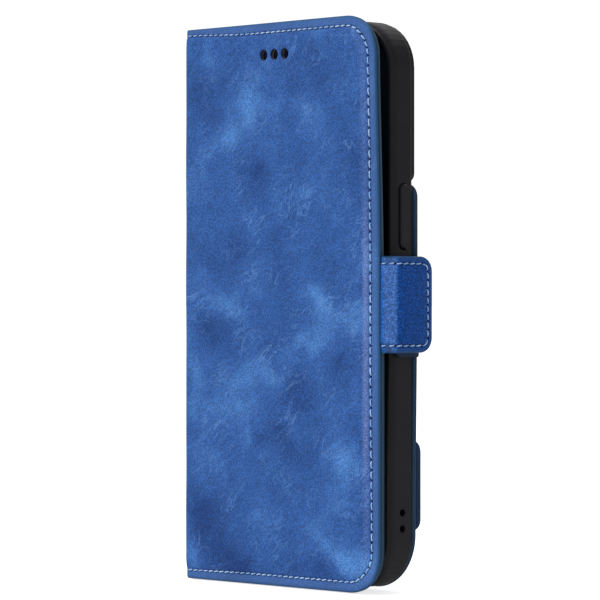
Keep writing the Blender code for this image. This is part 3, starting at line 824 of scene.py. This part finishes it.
def leather(name, depth=0.08, dark=LEATHER_DARK, middle=LEATHER_BLUE, light=LEATHER_LIGHT, veins=0.42,
            rubbed_border=0.4, edge=EDGE_TEAL, specks=0.3, mottle=1.0, cell=0.46):
    """Waxed pull-up leather: cloudy tone, pale creases, fine pebble grain, painted edges, a painted
    highlight along the fore-edge roll and painted shade in the holes.
    """
    look = Look(name, 0.5, specular=0.16)
    flat = look.pattern()
    grain = look.cells(look.pushed(flat, look.noise(flat, 1.6, 2.0), 0.5), cell)
    fine = look.noise(flat, 0.27, 3.0, 0.7)
    streak = look.noise(look.turned(flat, 40.0, (2.2, 1.0, 1.0)), 4.0, 4.0, 0.62, 0.5)
    cloud = look.noise(flat, 12.0, 3.0, 0.5, 0.3)

    tone = look.math("MULTIPLY_ADD", look.attribute("tone"), 0.46, 0.46)
    soft = look.math("ADD", look.remap(cloud, 0.3, 0.7, -0.1, 0.1),
                     look.remap(streak, 0.3, 0.7, -0.09, 0.09))
    tone = look.math("ADD", tone, soft, clamp=True)
    low = look.mix(dark, middle, look.remap(tone, 0.05, 0.5))
    colour = look.mix(low, light, look.remap(tone, 0.5, 0.98))
    speck = look.math("ADD", look.remap(grain, 0.08, 0.62, 1.0 + 0.32 * mottle, 1.0 - 0.34 * mottle),
                      look.remap(fine, 0.3, 0.7, -0.32 * mottle, 0.32 * mottle))
    colour = look.shade(colour, speck)
    bright = look.math("MULTIPLY", look.remap(grain, 0.05, 0.32, 1.0, 0.0), look.remap(fine, 0.42, 0.62))
    colour = look.mix(colour, light, look.math("MULTIPLY", bright, specks))

    crease = look.noise(look.turned(flat, 38.0, (2.6, 1.0, 1.0)), 5.5, 5.0, 0.6, 1.0)
    ridge = look.math("ABSOLUTE", look.math("SUBTRACT", crease, 0.5))
    vein = look.remap(ridge, 0.0, 0.02, 1.0, 0.0)
    patchy = look.remap(look.noise(flat, 15.0, 1.0), 0.45, 0.65)
    creased = look.math("MULTIPLY", vein, look.math("MULTIPLY", patchy, veins))
    colour = look.mix(colour, LEATHER_CREASE, creased)
    gritty = look.math("ADD", look.remap(fine, 0.35, 0.65, 0.0, 0.8),
                       look.remap(grain, 0.1, 0.5, 0.35, -0.1))
    # A painted highlight along the fore-edge roll, speckled by the grain
    highlight_mask = look.math("MULTIPLY", look.attribute("painted_highlight"), gritty, clamp=True)
    colour = look.mix(colour, LEATHER_HIGHLIGHT, highlight_mask)

    colour = look.mix(colour, LEATHER_BORDER, look.math("MULTIPLY", look.attribute("border"), rubbed_border))
    colour = look.mix(colour, edge, look.attribute("paint"))
    # Painted shade in the needle holes and ear holes
    colour = look.mix(colour, NEEDLE_SHADE, look.math("MULTIPLY", look.attribute("pit"), 1.4, clamp=True))

    unpainted = look.math("SUBTRACT", 1.0, look.attribute("paint"))
    height = look.math("ADD", look.remap(grain, 0.0, 0.8, 1.0, 0.0), look.math("MULTIPLY", fine, 0.7))
    height = look.math("SUBTRACT", height, look.math("MULTIPLY", vein, 0.5))
    height = look.math("MULTIPLY", height, unpainted)
    roughness = look.remap(look.math("ADD", fine, streak), 0.6, 1.4, 0.42, 0.6)
    return look.finish(colour, height, depth, 1.0, roughness)


def lining(name):
    """Smooth dark blue synthetic suede with a very fine nap."""
    look = Look(name, 0.8, specular=0.25)
    look.shader.inputs["Sheen Weight"].default_value = 0.2
    look.shader.inputs["Sheen Roughness"].default_value = 0.5
    flat = look.pattern()
    nap = look.noise(flat, 0.3, 3.0, 0.7)
    cloud = look.noise(flat, 9.0, 3.0)
    shade = look.math("MULTIPLY_ADD", cloud, 0.6, 0.5, clamp=True)
    colour = look.mix(linear(18, 38, 70), linear(32, 62, 106), shade)
    colour = look.shade(colour, look.remap(nap, 0.3, 0.7, 0.86, 1.14))
    colour = look.mix(colour, linear(30, 66, 92), look.attribute("paint"))
    # Painted shade in the needle holes and ear holes
    colour = look.mix(colour, NEEDLE_SHADE, look.math("MULTIPLY", look.attribute("pit"), 1.4, clamp=True))
    return look.finish(colour, nap, 0.04)


def thread(name):
    """Pale blue polyester thread: fibres along the twist, a little soiled in places."""
    look = Look(name, 0.55, specular=0.4)
    look.shader.inputs["Sheen Weight"].default_value = 0.3
    here = look.object_pattern()
    fibre = look.noise(look.object_pattern((1.0, 1.0, 3.0)), 0.12, 2.0, 0.6)
    soil = look.noise(here, 6.0, 2.0)
    colour = look.mix(linear(126, 166, 218), linear(176, 208, 244), look.remap(soil, 0.35, 0.65))
    colour = look.shade(colour, look.remap(fibre, 0.3, 0.7, 0.85, 1.1))
    return look.finish(colour, fibre, 0.05)


def moulded(name, base, pale, roughness):
    """Matt soft plastic with a very fine spark-eroded texture and faint handling marks."""
    look = Look(name, roughness, specular=0.18)
    here = look.object_pattern()
    fine = look.noise(here, 0.22, 3.0, 0.7)
    marks = look.noise(here, 11.0, 4.0, 0.6, 0.5)
    colour = look.mix(base, pale, look.remap(marks, 0.35, 0.7))
    colour = look.shade(colour, look.remap(fine, 0.3, 0.7, 0.92, 1.08))
    rough = look.remap(look.math("ADD", marks, fine), 0.7, 1.3, roughness - 0.05, roughness + 0.06)
    return look.finish(colour, fine, 0.02, 0.6, rough)


def board(name):
    """Grey pressed card: matted fibres and flecks."""
    look = Look(name, 0.9)
    here = look.object_pattern()
    fibre = look.noise(look.object_pattern((0.4, 1.0, 1.6)), 0.6, 5.0, 0.7, 1.5)
    fleck = look.cells(here, 1.7)
    colour = look.mix(linear(128, 122, 112), linear(168, 162, 150), look.remap(fibre, 0.3, 0.7))
    colour = look.shade(colour, look.remap(fleck, 0.0, 0.4, 0.86, 1.0))
    # Painted shade on the walls of the ear holes
    colour = look.mix(colour, HOLE_SHADE, look.attribute("pit"))
    return look.finish(colour, fibre, 0.08)


def steel(name):
    """Nickel-plated sheet, brushed along its length."""
    look = Look(name, 0.35, metallic=1.0)
    brushed = look.noise(look.object_pattern((1.0, 1.0, 0.04)), 0.3, 4.0, 0.7)
    stain = look.noise(look.object_pattern(), 7.0, 3.0)
    colour = look.mix(linear(178, 178, 182), linear(206, 206, 208), look.remap(stain, 0.35, 0.65))
    colour = look.shade(colour, look.remap(brushed, 0.3, 0.7, 0.93, 1.05))
    return look.finish(colour, brushed, 0.01, 0.4, look.remap(brushed, 0.3, 0.7, 0.28, 0.42))


# ---- the case ------------------------------------------------------------------------------------


def open_box(across, heights, near, far):
    """An open run round three sides: out along the bottom, up the far side and back along the top."""
    return [(across[0], heights[0], 0.0), (across[1], heights[0], near), (across[1], heights[1], far),
            (across[0], heights[1], 0.0)]


def sheet_outline(section, low_z, high_z, corner):
    """The open run round a whole section's sheet, with the same corner at its bottom and its top."""
    return open_box((0.0, section.length), (low_z, high_z), corner, corner)


def closed_box(across, heights, left, right):
    return [(across[0], heights[0], left), (across[1], heights[0], right),
            (across[1], heights[1], right), (across[0], heights[1], left)]


def padding(strength, size):
    """Soft unevenness of a padded face, in millimetres of height."""
    return lambda s, z: strength * noise.noise(Vector((s, z, 1.7)) / size)


def metres(x, y, z=TOP_Z / 2):
    return (x * MM, y * MM, z * MM)


def blend_front_fold(piece):
    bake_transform(piece)


def blend_back_fold(piece):
    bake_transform(piece)


def front_section():
    corners = [(SPINE_X, MIDDLE_Y), (SPINE_X, FRONT_Y, FOLD_RADIUS), (FORE_X - COVER_SHY, FRONT_Y)]
    path = Path(corners)
    fold_end = path.stretches[1][0] + FOLD_RADIUS
    whole = path.length

    def near(distance):
        """How strongly a place follows the seam: fully on it, not at all at the edge or well inside it."""
        share = distance / COVER_SEAM
        return share if share < 1.0 else 1.0 - smooth((share - 1.0) / 1.3)

    def slide(s, z):
        beside_spine = 1.0 - smooth((s - fold_end) / 30.0)
        rise = SEAM_RISE[0] + (SEAM_RISE[1] - SEAM_RISE[0]) * beside_spine
        drop = SEAM_DROP[0] + (SEAM_DROP[1] - SEAM_DROP[0]) * beside_spine
        return rise * near(TOP_Z - z) - drop * near(z)

    def slip(s, z):
        low = 1.0 - smooth((z - 10.0) / 60.0)
        high = smooth((z - 105.0) / 35.0)
        return (SEAM_SLIP[0] * low + SEAM_SLIP[1] * high) * near(whole - s) * smooth(s / 20.0)

    return Section(corners, 1, cover_bow, slide, slip)


def fold_range(section, spread=0.0):
    """Where along a section its folds begin and end, with some spread at both ends."""
    return [(begin - spread, begin + length + spread) for begin, _, _, length, turn in section.path.stretches
            if turn]


def ear_hole_places(section, x_end):
    return [(section.length - (x_end - EAR_HOLE_X - k * EAR_HOLE_PITCH), EAR_HOLE_Z, EAR_HOLE_RADIUS)
            for k in (-1, 0, 1)]


def cover_highlight(s, z):
    """How strong the painted highlight is on the roll beside the fore-edge seam: most along its lower half.
    """
    return 0.35 + 0.65 * smooth((z - 30.0) / 12.0) * smooth((118.0 - z) / 20.0)


def cover_leather(look, yarn):
    section = front_section()
    corners = sheet_outline(section, 0.0, TOP_Z, COVER_CORNER)
    folds = fold_range(section)
    past_fold = folds[0][1]
    stitched_from = past_fold + FOLD_GAP
    profile = thin_at_spine(edge_profile(0.82, 0.2, 0.3, 6.8, 3.5, 1.36, COVER_SEAM), 0.82)
    panel = Panel(corners, profile, folds=folds, holes=ear_hole_places(section, FORE_X - COVER_SHY),
                  pits=lambda s, z: s > stitched_from, crown=padding(0.1, 17.0), seam=COVER_SEAM,
                  channel=growing(0.0, 1.0, past_fold, 3.0), highlight_strength=cover_highlight,
                  thickness=growing(0.0, 1.0, past_fold, 3.0))
    made = build("cover_leather", panel, section, look)
    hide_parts("front_leather", "spine_leather")
    blend_front_fold(made)
    seam = stitches("cover_stitching", corners, section, yarn, -0.36, wanted=lambda s, z: s > stitched_from,
                    seam=COVER_SEAM)
    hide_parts("front_thread")
    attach(seam, "front_cover")


def cover_lining(look, yarn):
    inner_y = FRONT_Y + LINING_DEPTH
    end_x = FORE_X - COVER_SHY - LINING_SHY
    corners = [(SPINE_LINING_X, MIDDLE_Y), (SPINE_LINING_X, inner_y, 0.8), (end_x, inner_y)]
    section = Section(corners, -1, cover_bow)
    outline = sheet_outline(section, LINING_SHY, TOP_Z - LINING_SHY, COVER_CORNER)
    folds = fold_range(section, LINING_SPREAD)
    sewn_from = folds[0][1] - LINING_SPREAD + 2.0
    holes = ear_hole_places(section, end_x)
    profile = thin_at_spine(edge_profile(0.6, 0.1, 0.05, 6.4, 3.5, 1.32), 0.55)
    panel = Panel(outline, profile, folds=folds, holes=holes, pits=lambda s, z: s > sewn_from, step=3.0,
                  thickness=growing(0.0, 1.0, sewn_from, 3.0))
    made = build("cover_lining", panel, section, look)
    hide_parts("front_lining", "spine_lining")
    blend_front_fold(made)
    seam = stitches("cover_lining_stitching", outline, section, yarn, -0.1,
                    wanted=lambda s, z: sewn_from < s < sewn_from + 3.0)
    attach(seam, "front_cover")


def cover_board(look):
    low, high = span("front_board")
    end_x = high.x - COVER_SHY
    section = Section([(low.x, high.y), (end_x, high.y)], -1, cover_bow)
    outline = sheet_outline(section, low.z, high.z, COVER_CORNER - BOARD_INSET)
    holes = ear_hole_places(section, end_x)
    made = build("cover_board", Panel(outline, flat_profile(0.7, 0.01), holes=holes, step=4.0),
                 section, look)
    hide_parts("front_board")
    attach(made, "front_cover")


def pocket_sheets(look, yarn):
    """The cash pocket's panel and the three stepped card pockets, each sewn in along its edges."""
    for name in ("pocket_panel", "card_pocket_1", "card_pocket_2", "card_pocket_3"):
        low, high = span(name)
        section = Section([(low.x, high.y), (high.x - POCKET_SHY, high.y)], -1, cover_bow)
        whole = high.z > TOP_Z - 5
        bottom_corner = COVER_CORNER - POCKET_INSET
        top_corner = bottom_corner if whole else POCKET_CORNER
        outline = open_box((0.0, section.length), (low.z, high.z), bottom_corner, top_corner)
        holes = ear_hole_places(section, high.x - POCKET_SHY) if whole else []
        sewn_up_to = TOP_Z if whole else high.z - POCKET_CORNER
        panel = Panel(outline, flat_profile(high.y - low.y, 0.08, 3.1), holes=holes, step=3.0,
                      pits=lambda s, z, limit=sewn_up_to: z < limit)
        made = build(name + "_sheet", panel, section, look)
        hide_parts(name)
        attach(made, "front_cover")
        seam = stitches(name + "_stitching", outline, section, yarn, -0.08,
                        wanted=lambda s, z, limit=sewn_up_to: z < limit)
        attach(seam, "front_cover")


def back_section():
    corners = [(SPINE_X, MIDDLE_Y), (SPINE_X, BACK_Y, FOLD_RADIUS), (BACK_HIGH.x, BACK_Y)]
    return Section(corners, -1, back_bulge)


def back_outline(section, edge=0.0):
    """The back panel's run: along the bottom, up the fore-edge, round the camera notch and back."""
    right = section.length - edge
    notch = section.length - (BACK_HIGH.x - NOTCH_X)
    return [(0.0, edge, 0.0), (right, edge + BACK_RISE, BACK_CORNER), (right, NOTCH_Z, 4.0),
            (notch, NOTCH_Z, 5.0), (notch, TOP_Z - edge, 4.0), (0.0, TOP_Z - edge, 0.0)]


def back_leather(look, yarn):
    section = back_section()
    corners = back_outline(section)
    folds = fold_range(section)
    stitched_from = folds[0][1] + FOLD_GAP
    panel = Panel(corners, edge_profile(0.62, 0.2, 0.25, 3.9, 3.4, 1.15), folds=folds,
                  pits=lambda s, z: s > stitched_from, crown=padding(0.08, 17.0))
    made = build("back_leather_cover", panel, section, look, -1.0)
    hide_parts("back_leather")
    blend_back_fold(made)
    seam = stitches("back_stitching", corners, section, yarn, -0.31, wanted=lambda s, z: s > stitched_from)
    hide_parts("back_thread")
    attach(seam, "case")


def back_lining(look):
    corners = [(SPINE_LINING_X, MIDDLE_Y), (SPINE_LINING_X, BACK_LINING_Y, 0.6),
               (BACK_HIGH.x, BACK_LINING_Y)]
    section = Section(corners, 1, back_bulge)
    panel = Panel(back_outline(section, LINING_SHY), flat_profile(0.38, 0.02), step=3.0,
                  folds=fold_range(section, LINING_SPREAD))
    made = build("back_lining_sheet", panel, section, look, -1.0)
    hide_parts("back_lining")
    blend_back_fold(made)


# Where along the strap its stitches begin, and where its slope ends and its face begins
STRAP_SEWN_FROM = 0.9
FACE_FROM = 5.6


def clasp_strap(look, under, yarn):
    """The strap: out of the cover's edge, round the tray's corner, and a padded face along its side."""
    root_y = CLASP_LOW.y + 0.05
    slope_end = root_y + 4.6
    corners = [(FORE_X - 0.9, root_y), (FORE_X + 0.9, root_y, 1.2), (CLASP_HIGH.x, slope_end, 3.6),
               (CLASP_HIGH.x, CLASP_HIGH.y + 0.6)]
    section = Section(corners, 1)
    outline = sheet_outline(section, CLASP_LOW.z, CLASP_HIGH.z, CLASP_CORNER)
    profile = tapering(edge_profile(1.0, 0.22, 0.3, 3.3, seam=CLASP_SEAM), 1.0, 0.55)
    middle = (CLASP_LOW.z + CLASP_HIGH.z) / 2
    half = (CLASP_HIGH.z - CLASP_LOW.z) / 2 - CLASP_SEAM

    def cushion(s, z):
        along = smooth((s - 6.0) / 3.0) * smooth((section.length - CLASP_SEAM - s) / 4.0)
        across = 1 - min(abs(z - middle) / half, 1.0) ** 4
        return 0.35 * along * across + 0.05 * noise.noise(Vector((s, z, 4.0)) / 4.0)

    def tone(s, z):
        """Painted light on the slope and painted shade on the face, for the slope turns towards the lamps
        and the face away from them.
        """
        slope = smooth((s - 1.0) / 1.5) * smooth((FACE_FROM + 0.9 - s) / 1.6)
        return 1.1 * slope - 1.5 * smooth((s - FACE_FROM + 0.3) / 1.5)

    panel = Panel(outline, profile, folds=[(0.0, 9.0)], pits=lambda s, z: s > STRAP_SEWN_FROM, step=1.2,
                  thickness=growing(0.55, 1.35, 2.5, 6.0), crown=cushion, seam=CLASP_SEAM,
                  pitch=STRAP_STITCH)
    # The strap's tone paints light on its slope and shade on its face
    made = build("clasp_strap", panel, section, look, tone=tone)
    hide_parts("clasp_leather", "clasp_anchor")
    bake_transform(made)
    seam = stitches("clasp_stitching", outline, section, yarn, -0.36,
                    wanted=lambda s, z: s > STRAP_SEWN_FROM, seam=CLASP_SEAM, pitch=STRAP_STITCH)
    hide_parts("clasp_thread")
    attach(seam, "clasp")

    inner_x = CLASP_HIGH.x - 2.0
    corners = [(FORE_X + 0.7, root_y + 0.95), (inner_x - 0.05, root_y + 2.0, 1.0),
               (inner_x, CLASP_HIGH.y - 0.05)]
    section = Section(corners, -1)
    outline = sheet_outline(section, CLASP_LOW.z + 0.05, CLASP_HIGH.z - 0.05, CLASP_CORNER)
    panel = Panel(outline, flat_profile(0.55, 0.05, 3.3), folds=[(0.0, 3.0)], step=1.6)
    made = build("clasp_strap_lining", panel, section, under)
    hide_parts("clasp_lining")
    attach(made, "clasp")


def keeper_tab(look, under, yarn):
    """The fixed tab under the strap: out of the back panel and forward along the tray's side."""
    far_x = KEEPER_HIGH.x
    corners = [(FORE_X - 3.4, KEEPER_HIGH.y), (far_x + 0.4, KEEPER_HIGH.y + 0.9, 1.3),
               (far_x, KEEPER_LOW.y)]
    section = Section(corners, -1)
    outline = sheet_outline(section, KEEPER_LOW.z, KEEPER_HIGH.z, KEEPER_CORNER)
    bend = fold_range(section)
    profile = tapering(edge_profile(0.7, 0.12, 0.08, 2.9), 0.7, 0.4)
    panel = Panel(outline, profile, folds=bend, pits=lambda s, z: s > bend[0][1], step=1.6,
                  thickness=growing(0.42, 0.88, bend[0][0], 2.5))
    made = build("keeper_tab", panel, section, look)
    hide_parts("keeper_leather")
    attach(made, "case")
    seam = stitches("keeper_stitching", outline, section, yarn, -0.12, wanted=lambda s, z: s > bend[0][1])
    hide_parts("keeper_thread")
    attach(seam, "case")

    low, high = span("keeper_lining")
    section = Section([(low.x, high.y), (low.x, low.y)], 1)
    outline = sheet_outline(section, low.z, high.z, KEEPER_CORNER - 0.3)
    made = build("keeper_tab_lining", Panel(outline, flat_profile(0.3, 0.03, 2.6), step=2.0), section,
                 under)
    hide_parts("keeper_lining")
    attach(made, "case")


# The rear flap has no stitches this close to the middle of its crease
STAND_UNSEWN = 2.6


def stand_tab(look, under, yarn):
    """The rear flap: a strip sewn to the back panel, a pressed crease, and a stiff tab."""
    anchor_y, tab_y = ANCHOR_HIGH.y, STAND_HIGH.y
    crease = (ANCHOR_HIGH.x + 0.3, STAND_LOW.x - 0.2)
    corners = [(ANCHOR_LOW.x, anchor_y), (crease[0] - 0.5, anchor_y, 0.6),
               (crease[0] + 1.0, anchor_y - 0.35, 0.8), (crease[1] + 0.6, tab_y, 1.2), (STAND_HIGH.x, tab_y)]
    section = Section(corners, -1)
    outline = closed_box((0.0, section.length), (STAND_LOW.z, STAND_HIGH.z), 2.6, STAND_CORNER)
    hinge = section.length - (STAND_HIGH.x - (crease[0] + crease[1]) / 2)
    profile = tapering(edge_profile(0.7, 0.15, 0.12, 2.59, 2.55), 0.7, 0.4)
    panel = Panel(outline, profile, closed=True, folds=[(hinge - 2.5, hinge + 3.5)],
                  pits=lambda s, z: abs(s - hinge) > STAND_UNSEWN, step=1.6,
                  thickness=growing(0.5, 0.8, hinge, 2.5), crown=padding(0.04, 6.0))
    made = build("stand_flap", panel, section, look, -1.0)
    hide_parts("stand_leather", "stand_anchor")
    metres(crease[0], STAND_LOW.y, STAND_LOW.z)
    metres(crease[1] + 0.2, STAND_LOW.y, STAND_LOW.z)
    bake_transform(made)
    tab = stitches("stand_stitching", outline, section, yarn, -0.2, True,
                   lambda s, z: s > hinge + STAND_UNSEWN)
    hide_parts("stand_thread")
    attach(tab, "stand_tab")
    held = stitches("stand_anchor_stitching", outline, section, yarn, -0.2, True,
                    lambda s, z: s < hinge - STAND_UNSEWN)
    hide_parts("stand_anchor_thread")
    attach(held, "case")

    low, high = span("stand_lining")
    section = Section([(low.x, low.y), (high.x, low.y)], 1)
    outline = sheet_outline(section, low.z, high.z, STAND_CORNER)
    made = build("stand_flap_lining", Panel(outline, flat_profile(0.35, 0.04, 3.2), step=2.0), section,
                 under)
    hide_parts("stand_lining")
    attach(made, "stand_tab")


def smooth_by_angle(limit):
    """A modifier's node group that shades faces smoothly across every edge gentler than the limit."""
    group = bpy.data.node_groups.new("smooth_by_angle", "GeometryNodeTree")
    for direction in ("INPUT", "OUTPUT"):
        group.interface.new_socket("Geometry", in_out=direction, socket_type="NodeSocketGeometry")
    given = group.nodes.new("NodeGroupInput")
    result = group.nodes.new("NodeGroupOutput")
    faces = group.nodes.new("GeometryNodeSetShadeSmooth")
    edges = group.nodes.new("GeometryNodeSetShadeSmooth")
    edges.domain = "EDGE"
    angle = group.nodes.new("GeometryNodeInputMeshEdgeAngle")
    gentle = group.nodes.new("FunctionNodeCompare")
    gentle.operation = "LESS_THAN"
    gentle.inputs["B"].default_value = limit
    group.links.new(given.outputs[0], faces.inputs["Geometry"])
    group.links.new(faces.outputs[0], edges.inputs["Geometry"])
    group.links.new(angle.outputs["Unsigned Angle"], gentle.inputs["A"])
    group.links.new(gentle.outputs[0], edges.inputs["Shade Smooth"])
    group.links.new(edges.outputs[0], result.inputs[0])
    return group


def dress_cad_nodes():
    """Materials for the CAD parts that stay: the tray, its buttons, the cards and the steel plates."""
    tray = moulded("tray_plastic", linear(19, 19, 23), linear(25, 25, 29), 0.4)
    keys = moulded("button_plastic", linear(24, 24, 27), linear(31, 31, 35), 0.38)
    card, plate = board("pressed_card"), steel("nickel_plate")
    rounding = smooth_by_angle(math.radians(38.0))
    looks = {
        "tpu_shell": tray, "side_button": keys, "volume_up_button": keys, "volume_down_button": keys,
        "back_board": card, "spine_strip": card, "clasp_magnet": plate, "keeper_plate": plate,
        "stand_plate": plate,
    }
    for name, look in looks.items():
        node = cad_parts[name]
        node.data.materials.clear()
        node.data.materials.append(look)
        node.modifiers.new("smooth_by_angle", "NODES").node_group = rounding


def build_case():
    hide = leather("waxed_leather")
    strap_hide = leather("strap_leather", 0.14, linear(0, 76, 164), linear(34, 96, 182),
                         linear(80, 130, 214), 0.0, 0.1, specks=0.8, mottle=1.25, cell=0.56)
    rear_hide = leather("rear_leather", edge=linear(46, 62, 80))
    # The keeper's leather is painted much darker than the other leathers, as painted shade for its place
    # under the strap
    keeper_shaded_hide = leather("keeper_leather", 0.08, linear(14, 28, 56), linear(20, 38, 70), linear(30, 52, 88),
                          0.0, 0.1, linear(16, 28, 46))
    suede = lining("suede_lining")
    yarn = thread("pale_blue_thread")
    cover_leather(hide, yarn)
    cover_lining(suede, yarn)
    cover_board(board("cover_card"))
    pocket_sheets(suede, yarn)
    back_leather(rear_hide, yarn)
    back_lining(suede)
    clasp_strap(strap_hide, hide, yarn)
    keeper_tab(keeper_shaded_hide, suede, yarn)
    stand_tab(rear_hide, rear_hide, yarn)
    dress_cad_nodes()


# ---- studio --------------------------------------------------------------------------------------

# In metres: the floor's half width, and its gap under the case, so that the two don't meet
FLOOR_REACH = 30.0
FLOOR_GAP = 0.0004

# The suns: azimuth and elevation in degrees, power, and width in degrees
SUNS = {
    "key_light": (-12.0, 48.0, 2.6, 50.0),
    "fill_light": (60.0, 20.0, 0.18, 70.0),
    "rim_light": (-150.0, 50.0, 0.4, 60.0),
}

# The camera's azimuth in degrees, lens in millimetres, distance from its target in metres, and how
# far that target lies from the middle of the case: to the right, forwards, and on to the picture's
# right and up
CAMERA_AZIMUTH = 45.5
CAMERA_LENS = 194.0
CAMERA_AWAY = 0.9684
TARGET_X = -0.0016
TARGET_Y = -0.00125
TARGET_RIGHT = 0.00062
TARGET_UP = 0.00125


def floor_material():
    look = Look("studio_floor", 0.9, specular=0.1)
    grain = look.noise(look.object_pattern(), 40.0, 2.0)
    colour = look.mix((0.64, 0.64, 0.64), (0.66, 0.66, 0.66), grain)
    look.shader.inputs["Emission Color"].default_value = (1.0, 1.0, 1.0, 1.0)
    seen = look.node("ShaderNodeLightPath").outputs["Is Camera Ray"]
    look.tree.links.new(look.remap(seen, 0.0, 1.0, 0.1, 0.75), look.shader.inputs["Emission Strength"])
    return look.finish(colour, grain, 0.01, 0.1)


def studio():
    """A white floor under a white sky, lit by broad soft suns."""
    reach = FLOOR_REACH
    mesh = bpy.data.meshes.new("studio_floor")
    corners = [(-reach, -reach, 0), (reach, -reach, 0), (reach, reach, 0), (-reach, reach, 0)]
    mesh.from_pydata(corners, [], [(0, 1, 2, 3)])
    floor = bpy.data.objects.new("studio_floor", mesh)
    bpy.context.scene.collection.objects.link(floor)
    mesh.materials.append(floor_material())
    floor.location.z = -FLOOR_GAP

    world = bpy.data.worlds.new("studio_sky")
    bpy.context.scene.world = world
    world.use_nodes = True
    tree = world.node_tree
    sky = tree.nodes["Background"]
    sky.inputs["Color"].default_value = (1.0, 1.0, 1.0, 1.0)
    seen = tree.nodes.new("ShaderNodeLightPath")
    strength = tree.nodes.new("ShaderNodeMapRange")
    strength.inputs["To Min"].default_value = 0.42
    strength.inputs["To Max"].default_value = 1.05
    tree.links.new(seen.outputs["Is Camera Ray"], strength.inputs["Value"])
    tree.links.new(strength.outputs["Result"], sky.inputs["Strength"])

    for name, (azimuth, elevation, power, width) in SUNS.items():
        light = bpy.data.lights.new(name, "SUN")
        light.energy = power
        light.angle = math.radians(width)
        lamp = bpy.data.objects.new(name, light)
        bpy.context.scene.collection.objects.link(lamp)
        turn, rise = math.radians(azimuth), math.radians(elevation)
        source = Vector((math.sin(turn) * math.cos(rise), -math.cos(turn) * math.cos(rise), math.sin(rise)))
        lamp.rotation_euler = source.to_track_quat("Z", "Y").to_euler()


def camera():
    """A long lens, level with the middle of the case, looking at its fore-edge."""
    azimuth = math.radians(CAMERA_AZIMUTH)
    away = Vector((math.sin(azimuth), -math.cos(azimuth), 0.0))
    right = Vector((math.cos(azimuth), math.sin(azimuth), 0.0))
    middle = Vector((TARGET_X, TARGET_Y, TOP_Z / 2 * MM))
    target = middle + right * TARGET_RIGHT + Vector((0.0, 0.0, TARGET_UP))
    lens = bpy.data.cameras.new("camera")
    lens.sensor_width = 36.0
    lens.lens = CAMERA_LENS
    made = bpy.data.objects.new("camera", lens)
    bpy.context.scene.collection.objects.link(made)
    made.location = target + away * CAMERA_AWAY
    made.rotation_euler = away.to_track_quat("Z", "Y").to_euler()
    bpy.context.scene.camera = made
    bpy.context.scene.view_settings.view_transform = "Standard"


build_case()
studio()
camera()
